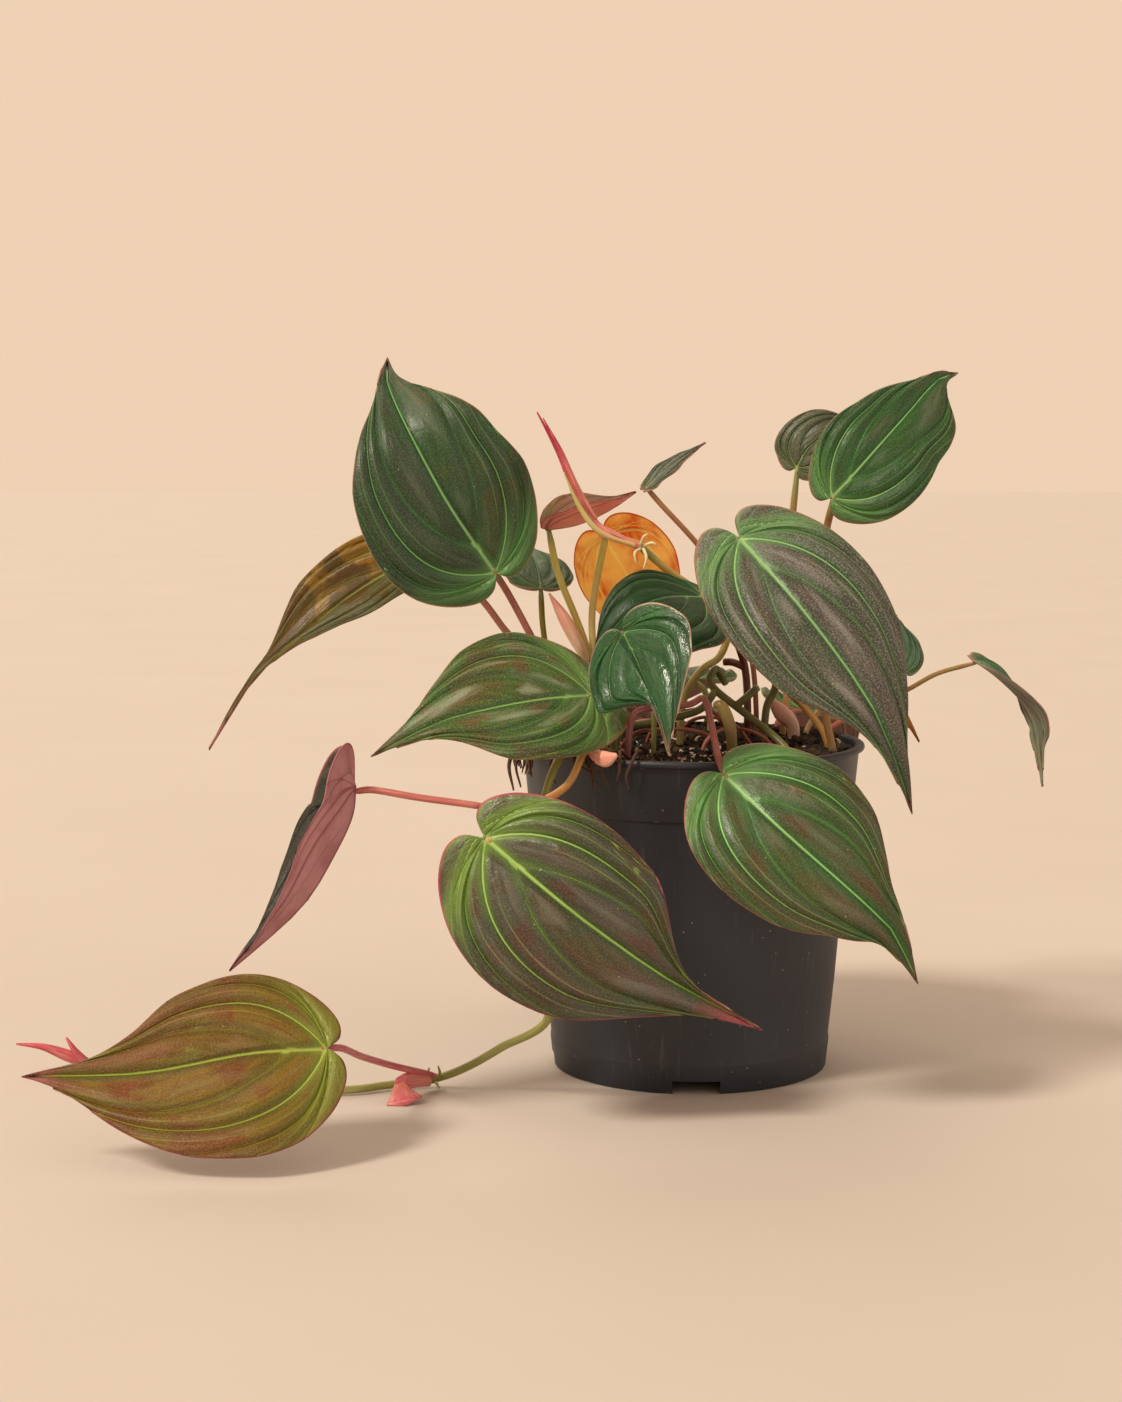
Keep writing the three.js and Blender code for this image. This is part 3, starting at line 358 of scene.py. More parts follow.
def build_leaf(name, leaf):
    """A closed blade: the upper face, the under face below it, and a rim between them."""
    lines = leaf_lines()
    rows = np.linspace(0, 1, ROWS) ** 0.9
    line, reach = np.meshgrid(lines, rows, indexing="ij")
    points, faces, found = [], [], []
    for side in (1, -1):
        surface, flat, along, length = blade_side(leaf, side, line, reach)
        found.append(leaf_values(flat, lines, line, reach, rows, along, length, side))
        points.append(surface.reshape(-1, 3))
        a = np.arange(LINES - 1)[:, None] * ROWS + np.arange(ROWS - 1)
        a = a.reshape(-1) + (0 if side > 0 else LINES * ROWS)
        quad = np.stack([a, a + 1, a + ROWS + 1, a + ROWS], -1)
        faces.append(quad if side > 0 else quad[:, ::-1])
    points = np.vstack(points)
    _, first, merged = np.unique(np.round(points, 3), axis=0, return_index=True, return_inverse=True)
    points = points[first]
    polygons = []
    for quad in merged.reshape(-1)[np.vstack(faces)]:
        corners = [v for k, v in enumerate(quad) if v != quad[k - 1]]
        if len(set(corners)) > 2 and len(set(corners)) == len(corners):
            polygons.append(corners)
    normals = np.zeros_like(points)
    sides = {}
    for corners in polygons:
        p = points[corners]
        normals[corners] += np.cross(p[1] - p[0], p[-1] - p[0])
        for k, v in enumerate(corners):
            sides[(corners[k - 1], v)] = True
    count = len(points)
    under = points - unit(normals) * BLADE_THICKNESS
    rim = [(a, a + count, b + count, b) for a, b in sides if (b, a) not in sides]
    every = polygons + [[v + count for v in reversed(corners)] for corners in polygons] + rim
    piece = mesh_object(name + "_blade", np.vstack([points, under]), every)
    values = {}
    for key, one in found[0].items():
        both = np.concatenate([one, found[1][key]])
        values[key] = both.reshape((-1,) + one.shape[2:])[first]
    flat = values["flat"]
    values["side"] = np.clip(flat[:, 1] / 3, -1, 1)
    values["along"] = flat[:, 0] / flat[:, 0].max()
    for key, value in values.items():
        store(piece, key, np.concatenate([value, value]))
    slots = [0] * len(polygons) + [1] * (len(polygons) + len(rim))
    piece.data.polygons.foreach_set("material_index", slots)
    return piece


def upper_finish(name, leaf):
    """The velvety upper face: greener beside the veins, browner on the crests, painted shade in the
    valleys beside the veins, painted grey sheen on the crests and in fine glints.
    """
    rough, green, sheen = leaf["roughness"], leaf["green"], leaf["sheen"]
    skin = Finish(name + "_upper", rough)
    flat, fan = skin.attribute("flat", "Vector"), skin.attribute("fan", "Vector")
    halo, crest, vein, edge, along, reach = (
        skin.attribute(key) for key in ("halo", "crest", "vein", "edge", "along", "reach"))
    cloud = skin.noise(flat, leaf["cloud"], 4, 0.8)
    grain = skin.noise(flat, 1.7, 4)
    streak = skin.noise(fan, 0.5, 4, 0.4)
    thread = skin.noise(skin.stretched(fan, (3.2, 1.2, 1)), 1.0, 3)
    smear = skin.noise(skin.stretched(fan, (0.7, 1.4, 1)), 0.8, 4, 0.8)
    left_side = skin.remap(skin.attribute("side"), -0.2, 0.2)
    skin.tint(skin.mix(left_side, leaf["far_tone"] or leaf["tone"], leaf["tone"]))
    skin.paint(skin.remap(cloud, 0.46, 0.58), leaf["patch"])
    skin.paint(skin.remap(streak, 0.46, 0.66, 0, leaf["streaks"]), green)
    near = skin.remap(halo, leaf["band"], 0.2, 0, leaf["band_strength"])
    skin.paint(skin.times(near, skin.remap(reach, 0.1, 0.9, 1, 0.2)), green)
    skin.paint(skin.remap(thread, 0.4, 0.7, 0, 0.4), leaf["dark"])
    # Painted shade: a darker band in the pleat valleys just beside the veins, where the quilted blade
    # dips.
    shade = skin.times(skin.remap(halo, 2.4, 0.9), skin.remap(halo, 0.25, 0.7))
    skin.paint(skin.times(shade, 0.42), leaf["dark"])
    skin.paint(skin.remap(along, leaf["tip_from"], leaf["tip_from"] + leaf["tip_span"]), leaf["tip"])
    # Painted sheen: the crests of the pleats are lightened towards the sheen colour, by the leaf's share
    # of painted crest sheen.
    skin.paint(skin.times(crest, skin.remap(smear, 0.45, 0.68, 0, leaf["crest_sheen"])), sheen)
    # Painted glints: fine specks of the grain lightened towards the sheen colour, where light catches the
    # velvet.
    skin.paint(skin.remap(grain, 0.45, 0.72, 0, leaf["velvet"]), sheen)
    skin.paint(skin.remap(grain, 0.5, 0.25, 0, 0.4), "0c120a")
    skin.paint(skin.remap(skin.attribute("fine"), 2.0, 0.4, 0, leaf["fine_strength"]), leaf["vein"])
    skin.paint(skin.times(skin.remap(along, 0.22, 0), skin.remap(halo, 2.4, 0.2, 0, 0.4)), leaf["vein"])
    drawn = skin.times(skin.remap(vein, 1.5, 0.5), skin.remap(reach, 1.0, 0.05, 0.42, 0.9))
    skin.paint(skin.times(drawn, leaf["vein_strength"]), leaf["vein"])
    pale = skin.times(skin.remap(vein, 1.0, 0.3), skin.remap(along, 0.5, 0, 0, 0.35))
    skin.paint(pale, leaf["vein_base"])
    skin.paint(skin.remap(edge, 2.4, 0.6, 0, 0.3), leaf["margin"])
    skin.paint(skin.remap(edge, 1.0, 0.5, 0, 0.95), leaf["margin"])
    skin.paint(skin.times(skin.dots(flat, 0.3, 0.06, 0.3), 0.75), "d9cfae")
    skin.set("Roughness", skin.remap(smear, 0.3, 0.7, rough - 0.14, rough + 0.12))
    sunk = skin.bump(skin.remap(vein, 0, 3.5), 0.3, 0.9)
    ripple = skin.noise(skin.stretched(fan, (0.6, 3, 1)), 1.0, 3)
    puckered = skin.bump(ripple, 0.6, leaf["pucker"], sunk)
    dented = skin.bump(skin.noise(flat, 0.22, 3), 0.7, leaf["dents"], puckered)
    skin.set("Normal", skin.bump(grain, 0.12, 0.7, dented))
    skin.set("Sheen Weight", leaf["sheen_weight"])
    skin.set("Sheen Roughness", 0.4)
    skin.set("Sheen Tint", sheen)
    skin.set("Specular IOR Level", leaf["specular"])
    if leaf["glow"]:
        skin.glow(leaf["glow_colour"] or skin.base, leaf["glow"])
    return skin.material


def under_finish(name, leaf):
    """The smooth back of the blade, with raised paler veins."""
    skin = Finish(name + "_under", roughness=0.45)
    flat, vein = skin.attribute("flat", "Vector"), skin.attribute("vein")
    cloud = skin.noise(flat, 0.07, 3, 0.5)
    streak = skin.noise(skin.stretched(flat, (0.3, 1.6, 1)), 0.5, 3, 0.3)
    skin.tint(leaf["back"])
    skin.paint(skin.remap(cloud, 0.4, 0.65), leaf["back_patch"])
    skin.paint(skin.remap(streak, 0.4, 0.75, 0, 0.45), leaf["back_streak"])
    skin.paint(skin.remap(vein, 2.2, 0.6, 0, 0.75), leaf["back_vein"])
    skin.paint(skin.remap(skin.attribute("fine"), 1.8, 0.5, 0, 0.3), leaf["back_vein"])
    skin.paint(skin.remap(skin.attribute("edge"), 0.9, 0.3, 0, 0.8), leaf["margin"])
    raised = skin.bump(skin.remap(vein, 3.0, 0), 0.4, 0.8)
    skin.set("Normal", skin.bump(skin.noise(flat, 1.1, 3), 0.2, 0.4, raised))
    skin.set("Sheen Weight", 0.1)
    if leaf["glow"]:
        skin.glow(skin.base, leaf["glow"])
    return skin.material


# A leaf's midrib and faces first, then its outline and folds (one value, or one for each side
# of the midrib), then its colours and strengths. What a leaf leaves out is as in PLAIN.
PLAIN = dict(
    turn=1, wide=1, drip=0.2, fold=0.05, cup=-0.1, neck=0.45, lobe=0, quilt=1, green="2c5a28",
    tone="33402a", far_tone=None, patch="44482c", dark="1a2414", tip="443e2c", tip_from=0.8,
    tip_span=0.2, sheen="74826a", sheen_weight=0.08, vein="7cb462", vein_base="bcd494",
    vein_strength=1.0, fine_strength=0.2, margin="a07458", back="9c625c", back_patch="8a6450",
    back_streak="b08070", back_vein="c0947c", band=3.4, band_strength=0.8, streaks=0.5, crest_sheen=0.34,
    velvet=0.34, cloud=0.055, pucker=0.6, dents=0.5, roughness=0.46, specular=0.45, glow=0,
    glow_colour=None,
)
LEAVES = {
    "leaf_upper_left": dict(
        rib=[(-67, -20, 172), (-82, -30, 195), (-94, -30, 217), (-101, -18, 230), (-104, -8, 237),
             (-104, -4, 245)],
        face=(0.15, -1, 0.2), tip_face=(-0.1, -0.8, 0.6), wide=(1.08, 1.05), drip=(0.2, -0.35),
        green="225c24", tone="2c3824", far_tone="42481a", patch="2a4622", tip="5c5248", tip_from=0.88,
        tip_span=0.12, vein="80c070", margin="b08a68"),
    "leaf_hanging_left": dict(
        rib=[(-90, 2, 178), (-105, 2, 171), (-119, 0, 162), (-131, -2, 152), (-142, -4, 143),
             (-151, -4, 134), (-167, -2, 110)],
        face=(-0.45, -0.5, 0.75), tip_face=(-0.5, 0.8, 0.35), turn=2.8, wide=(0.6, 0.55),
        drip=(0.7, 0.75), fold=(0.1, 0.6), cup=(-0.1, 0), neck=(0.24, 0.38),
        green="70701a", tone="66704c", far_tone="c48c08", patch="6c4408", dark="402c10", tip="7c4858",
        sheen="9c8448", vein="98a850", margin="8c5a50", back="a8626a", back_vein="c08080", band=2.2,
        band_strength=0.5, crest_sheen=0.12, velvet=0.15, glow=0.3),
    "leaf_mid_left": dict(
        rib=[(-35, -40, 133), (-50, -52, 133), (-67, -62, 131), (-84, -68, 127), (-106, -68, 116)],
        face=(-0.1, -0.85, 0.5), tip_face=(-0.3, -0.8, 0.5), wide=(0.92, 1.15), drip=(0.45, 0.2),
        lobe=(1, 0.3),
        green="3a7822", tone="527028", patch="6c5426", tip="7a6848", tip_from=0.82, tip_span=0.18,
        sheen="a4b094", vein="90c468", margin="a87a5c", crest_sheen=0.85, cloud=0.07, roughness=0.38,
        glow=0.15),
    "leaf_small_glossy": dict(
        rib=[(-25, -56, 155), (-21, -61, 147), (-17, -69, 138), (-13, -77, 128), (-11, -83, 118)],
        face=(-0.7, -0.7, 0.2), wide=1.6, drip=(0.15, 0.9), neck=(0.45, 0.28), lobe=0.4, quilt=1.7,
        green="24662c", tone="26522e", patch="2a5c38", tip="8c6a54", tip_from=0.85, tip_span=0.15,
        sheen="5c8460", vein="509058", vein_strength=0.5, fine_strength=0.04, margin="c0a08c",
        crest_sheen=0.25, pucker=0.9, dents=0.9, roughness=0.3, specular=0.7),
    "leaf_arched": dict(
        rib=[(3, -15, 164), (-12, -26, 164), (-25, -29, 157), (-37, -29, 138)],
        face=(-0.2, -0.7, 0.7), tip_face=(-0.6, -0.7, 0.3), wide=(1.6, 0.95),
        green="1c4a1c", tone="183a1c", patch="1c401c", tip="24401f", sheen="3c5c44", sheen_weight=0.0,
        vein="46804a", crest_sheen=0.2, velvet=0.1, roughness=0.4, specular=0.3),
    "leaf_front": dict(
        rib=[(-69, -88, 93), (-47, -98, 76), (-33, -98, 65), (-11, -94, 49), (19, -86, 31)],
        face=(-0.15, -1, 0.25), tip_face=(0, -1, 0.1), wide=(0.83, 1.02), drip=(0.8, 0.35), lobe=0.2,
        green="46661e", tone="4c443a", patch="543428", tip="a04454", tip_from=0.74, sheen="7c7c70",
        vein="98c458", margin="b84c66", band=2.2, streaks=0.4, crest_sheen=0.5, roughness=0.38),
    "leaf_front_right": dict(
        rib=[(7, -66, 110), (25, -80, 94), (49, -84, 73), (60, -82, 62), (69, -78, 44)],
        face=(0.2, -1, 0.35), tip_face=(0.3, -1, 0.1), wide=(1, 0.95), drip=(0.4, 0.2),
        green="327428", tone="444822", patch="563c20", tip="70503c", tip_from=0.86, tip_span=0.14,
        vein="8ccc78", vein_base="c8dca0", margin="a86c60", roughness=0.42),
    "leaf_velvet_right": dict(
        rib=[(13, -45, 185), (32, -64, 163), (51, -72, 137), (60, -72, 119), (68, -66, 97)],
        face=(0.1, -1, 0.4), tip_face=(0.5, -1, 0.1), wide=(0.85, 0.76), drip=(0.2, 0.45), lobe=0.3,
        green="305c2c", tone="483e36", patch="54483e", tip="6c5448", tip_from=0.88, tip_span=0.12,
        sheen="a4a49c", sheen_weight=0.16, vein="80ba70", margin="a06850", band=2.2, crest_sheen=0.5,
        velvet=0.42),
    "leaf_upper_right": dict(
        rib=[(47, -8, 197), (55, -10, 206), (64, -8, 216), (75, 2, 227), (85, 12, 237), (93, 14, 240)],
        face=(0.1, -1, 0.35), tip_face=(0.1, -0.8, 0.6), wide=(0.85, 1.02), drip=(-0.3, -0.6),
        green="2a7826", tone="225020", patch="354a20", tip="5c6048", tip_from=0.88, tip_span=0.12,
        vein="90cc7c", vein_base="ccdca4", margin="a07c58", glow=0.15),
    "leaf_dull_right": dict(
        rib=[(37, 13, 207), (41, 12, 214), (49, 13, 219), (63, 18, 222)],
        face=(-0.3, -1, 0.3), tip_face=(-0.3, -1, 0.2), wide=(1.25, 1.2), drip=0, lobe=0.3,
        green="3c5834", tone="565640", patch="5c5640", tip="504c3c", vein="748450", margin="8c6c54"),
    "leaf_curled_right": dict(
        rib=[(98, 0, 141), (106, -3, 135), (114, -4, 127), (119, -4, 118), (120, -3, 111),
             (122, -2, 97)],
        face=(0.6, -0.35, 0.7), tip_face=(0.5, 0.9, 0.3), wide=0.6, drip=0.4, fold=0.3,
        green="487848", tone="4e6a54", patch="5c7058", tip="94706c", tip_from=0.6, vein="6c9464",
        margin="a46c6c", back="6c7464", back_patch="7c6c64", back_streak="7c8470", back_vein="8a9070"),
    "leaf_tiny_right": dict(
        rib=[(79, 36, 133), (78, 38, 143), (76, 40, 154)],
        face=(0.1, -1, 0.2), wide=1.15, drip=0, fold=0.1,
        green="45704a", tone="52745a", patch="567257", tip="567257", vein="6c9464", margin="8c9070"),
    "leaf_yellow": dict(
        rib=[(65, 20, 161), (69, 14, 143), (72, 8, 126), (80, 4, 112)],
        face=(0.8, -0.5, 0.3), wide=(0.75, 0.62), drip=0, fold=0.1,
        green="c09a30", tone="cc9428", patch="c06c28", dark="8c5a1c", tip="b0602a", sheen="e0b060",
        vein="d0b84c", vein_base="e8d47c", margin="b86c40", back="d09a34", back_patch="c8802c",
        back_vein="d8c050", glow=0.4),
    "leaf_inrolled": dict(
        rib=[(-110, -80, 108), (-111, -82, 99), (-116, -84, 88), (-125, -86, 73), (-137, -86, 61),
             (-150, -85, 50)],
        face=(-0.95, 0, 0.35), wide=0.92, drip=0, fold=(0.5, 0.75), cup=0, lobe=1.4,
        green="16281e", tone="121a18", patch="1c2422", tip="202220", vein="2c4432", margin="a85c68",
        back="d0949c", back_patch="b87880", back_streak="d8a098", back_vein="9c5058", glow=0.2,
        glow_colour="c08888"),
    "leaf_bronze": dict(
        rib=[(-116, -118, 33), (-139, -124, 33), (-171, -128, 28), (-207, -128, 27)],
        face=(0, -0.75, 0.65), wide=(1.22, 1), drip=(0, 0.3), fold=0.03, cup=-0.05,
        green="6c7818", tone="8a6818", patch="86481a", dark="4a3010", tip="a85060", tip_from=0.84,
        tip_span=0.14, sheen="a08a58", vein="a8c44c", vein_base="ccd47c", margin="a04c5c", band=3.8,
        band_strength=0.6, glow=0.2),
    "leaf_dark_small": dict(
        rib=[(-52, 10, 165), (-53, 21, 170), (-55, 33, 175), (-58, 46, 179)],
        face=(0.1, -0.6, 0.8), wide=1.05, drip=0, fold=0.1,
        green="2c6430", tone="285028", patch="2c5630", tip="3c5440", sheen_weight=0.0, vein="6a9a5c",
        specular=0.3),
    "leaf_orange": dict(
        rib=[(-30, 12, 183), (-22, 11, 170), (-15, 8, 156), (-8, 4, 139)],
        face=(0.25, 1, 0.1), wide=(1.15, 1.3), drip=0, fold=0.1, lobe=0.6,
        green="d8a840", tone="f8bc58", patch="d88038", dark="b05c28", tip="c87838", vein_base="f4d880",
        margin="c85840", back="ffd488", back_patch="e06428", back_streak="ffd884", back_vein="fff4a8",
        glow=0.85, glow_colour="ffe8b0"),
    "leaf_edge_on": dict(
        rib=[(-50, 1, 186), (-39, 1, 188), (-28, 3, 193), (-19, 8, 199)],
        face=(-0.35, 0.1, 0.9), wide=1.2, drip=0, fold=(0.95, 0.4), cup=0,
        green="56644c", tone="626c5c", patch="5a6454", tip="6c6458", margin="a4625c", back="f8b4a4",
        back_patch="e89890", back_streak="eca878", back_vein="a85c5c", glow=0.4, glow_colour="ffc4b0"),
    "leaf_small_top": dict(
        rib=[(-16, 2, 200), (-7, 3, 208), (5, 6, 216)],
        face=(-0.4, -0.5, 0.8), wide=0.65, drip=0, fold=0.2,
        green="4f6044", tone="626654", patch="6a6050", tip="8c6864", vein="76805c", margin="ac6c6c"),
    "leaf_back_low": dict(
        rib=[(3, 30, 131), (-4, 46, 134), (-11, 63, 128), (-19, 80, 112), (-24, 92, 94)],
        face=(-0.1, 0.3, 1), tip_face=(-0.2, 1, 0.4)),
    "leaf_back_right": dict(
        rib=[(42, 33, 120), (46, 46, 121), (49, 57, 112), (50, 66, 95), (48, 70, 78)],
        face=(0.3, 0.2, 1), tip_face=(0.7, 0.7, 0.3),
        green="3d6a26", patch="5a5030"),
    "leaf_back_left": dict(
        rib=[(-24, 62, 116), (-29, 74, 105), (-32, 82, 86), (-31, 84, 64), (-27, 83, 44)],
        face=(-0.4, 1, 0.5), tip_face=(-0.4, 1, 0), drip=0.3,
        tone="46402f", patch="56483a"),
    "leaf_back_hanging": dict(
        rib=[(16, 72, 106), (23, 82, 92), (26, 86, 72), (25, 84, 52), (20, 80, 34)],
        face=(0.3, 1, 0.4), tip_face=(0.2, 1, -0.1), drip=0.3),
    "leaf_back_high": dict(
        rib=[(40, 46, 168), (44, 58, 166), (48, 70, 156), (51, 80, 140), (53, 88, 120)],
        face=(0.2, 0.5, 1), tip_face=(0.3, 1, 0.3),
        tone="2a3a28"),
}
for name, shape in LEAVES.items():
    leaf = {**PLAIN, **shape}
    blade = build_leaf(name, leaf)
    blade.data.materials.append(upper_finish(name, leaf))
    blade.data.materials.append(under_finish(name, leaf))
    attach(blade, "root")
    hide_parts(name)

# The petioles and vines are smooth round green stalks, flushed red or tan towards one end,
# a little swollen where they leave the soil or a node and slimmer where they meet a leaf.
SOIL_LEVEL = 110.5
STEM_DEPTH = 9


def soil_height(x, y):
    heap = 3.2 * np.exp(-((x - 14) ** 2 + (y - 20) ** 2) / 900)
    lump = 1.6 * np.exp(-((x - 38) ** 2 + (y - 22) ** 2) / 120)
    bumps = 0.7 * np.sin(0.31 * x + 1.3) * np.sin(0.27 * y + 0.4) + 0.4 * np.sin(0.6 * x - 0.25 * y)
    return SOIL_LEVEL + heap + lump + bumps


def stem_path(points):
    """A two number first point is a foot in the soil, from which the stem rises straight."""
    if len(points[0]) == 3:
        return points
    x, y = points[0]
    ground = float(soil_height(x, y))
    return [(x, y, SOIL_LEVEL - STEM_DEPTH), (x, y, ground - 1), (x, y, ground + 2)] + points[1:]


def carried(tangents):
    """Side directions that turn as little as they can along the path."""
    smallest = np.eye(3)[np.argmin(np.abs(tangents[0]))]
    side = np.cross(tangents[0], np.cross(tangents[0], smallest))
    sides = []
    for tangent in tangents:
        side = side - tangent * np.dot(side, tangent)
        side = side / np.linalg.norm(side)
        sides.append(side)
    return np.array(sides)


def ring_faces(count, around):
    """Outward faces of a closed body of rings of points, with its two end points after them."""
    ends, last, faces = count * around, (count - 1) * around, []
    for k in range(around):
        n = (k + 1) % around
        faces += [(i + k, i + n, i + around + n, i + around + k) for i in range(0, last, around)]
        faces += [(ends, n, k), (ends + 1, last + k, last + n)]
    return faces


def rod_mesh(points, radii, step=1.2, around=14, flat=1.0):
    """A closed rod with rounded ends: its points, faces, and places on its unrolled skin."""
    path = np.asarray(points, float)
    length = np.linalg.norm(np.diff(path, axis=0), axis=1).sum()
    count = max(8, int(length / step))
    share = np.linspace(0, 1, count)
    centre = spline(path, share)
    tangent = unit(np.gradient(centre, axis=0))
    side = carried(tangent)
    other = np.cross(tangent, side)
    if callable(radii):
        radius = radii(share)
    else:
        radius = np.maximum(spline([(r, 0) for r in radii], share)[:, 0], 0.1)
    angle = np.linspace(0, 2 * np.pi, around, endpoint=False)
    ring = np.cos(angle)[:, None] * side[:, None] + flat * np.sin(angle)[:, None] * other[:, None]
    shell = centre[:, None] + ring * radius[:, None, None]
    ends = [centre[0] - tangent[0] * radius[0] * 0.4, centre[-1] + tangent[-1] * radius[-1] * 0.4]
    shares = np.concatenate([np.repeat(share, around), [0, 1]])
    turn = np.concatenate([np.tile(angle, count), [0, 0]])
    skin = np.stack([shares * length, np.cos(turn) * 1.5, np.sin(turn) * 1.5], -1)
    return np.vstack([shell.reshape(-1, 3), ends]), ring_faces(count, around), shares, skin


def rods_object(name, rods):
    """Several rods as one mesh, with what the stalk's material reads."""
    faces, start = [], 0
    for points, own, _, _ in rods:
        faces += [tuple(v + start for v in face) for face in own]
        start += len(points)
    piece = mesh_object(name, np.vstack([rod[0] for rod in rods]), faces)
    store(piece, "share", np.concatenate([rod[2] for rod in rods]))
    store(piece, "skin", np.vstack([rod[3] for rod in rods]))
    return piece


def stalk_finish(name, low, high, streak, roughness=0.38, joint=None):
    """Smooth stalk skin: a colour at the foot, another at the leaf, fine streaks and pale dots."""
    skin = Finish(name, roughness)
    place, share = skin.attribute("skin", "Vector"), skin.attribute("share")
    lines = skin.noise(skin.stretched(place, (0.12, 2.2, 2.2)), 1.0, 3)
    skin.tint(low)
    skin.paint(skin.remap(share, 0.1, 0.95), high)
    skin.paint(skin.remap(lines, 0.42, 0.68, 0, 0.65), streak)
    skin.paint(skin.remap(skin.noise(place, 0.25, 2), 0.5, 0.7, 0, 0.35), low)
    skin.paint(skin.times(skin.dots(place, 0.8, 0.14, 0.3), 0.5), "d8c8a0")
    if joint:
        skin.paint(skin.remap(share, 0.92, 0.985, 0, 0.85), joint)
    skin.set("Normal", skin.bump(lines, 0.15, 0.5))
    skin.set("Subsurface Weight", 0.12)
    skin.set("Subsurface Radius", (0.002, 0.001, 0.0006))
    return skin.material


def leaf_base(name):
    place, _, normal, _, _ = rib_frame({**PLAIN, **LEAVES[name]}, np.array([0.02]))
    return tuple(place[0] - normal[0] * BLADE_THICKNESS * 0.6)


def stalk_radius(radius, foot, leaf):
    """Slightly swollen at a foot, a little slimmer along the way, and slimmest where it meets a leaf."""
    def at(share):
        swell = 0.16 * np.exp(-(share / 0.06) ** 2) * foot
        swell = swell - 0.28 * np.exp(-((1 - share) / 0.03) ** 2) * leaf
        return radius * (0.94 + swell)
    return at


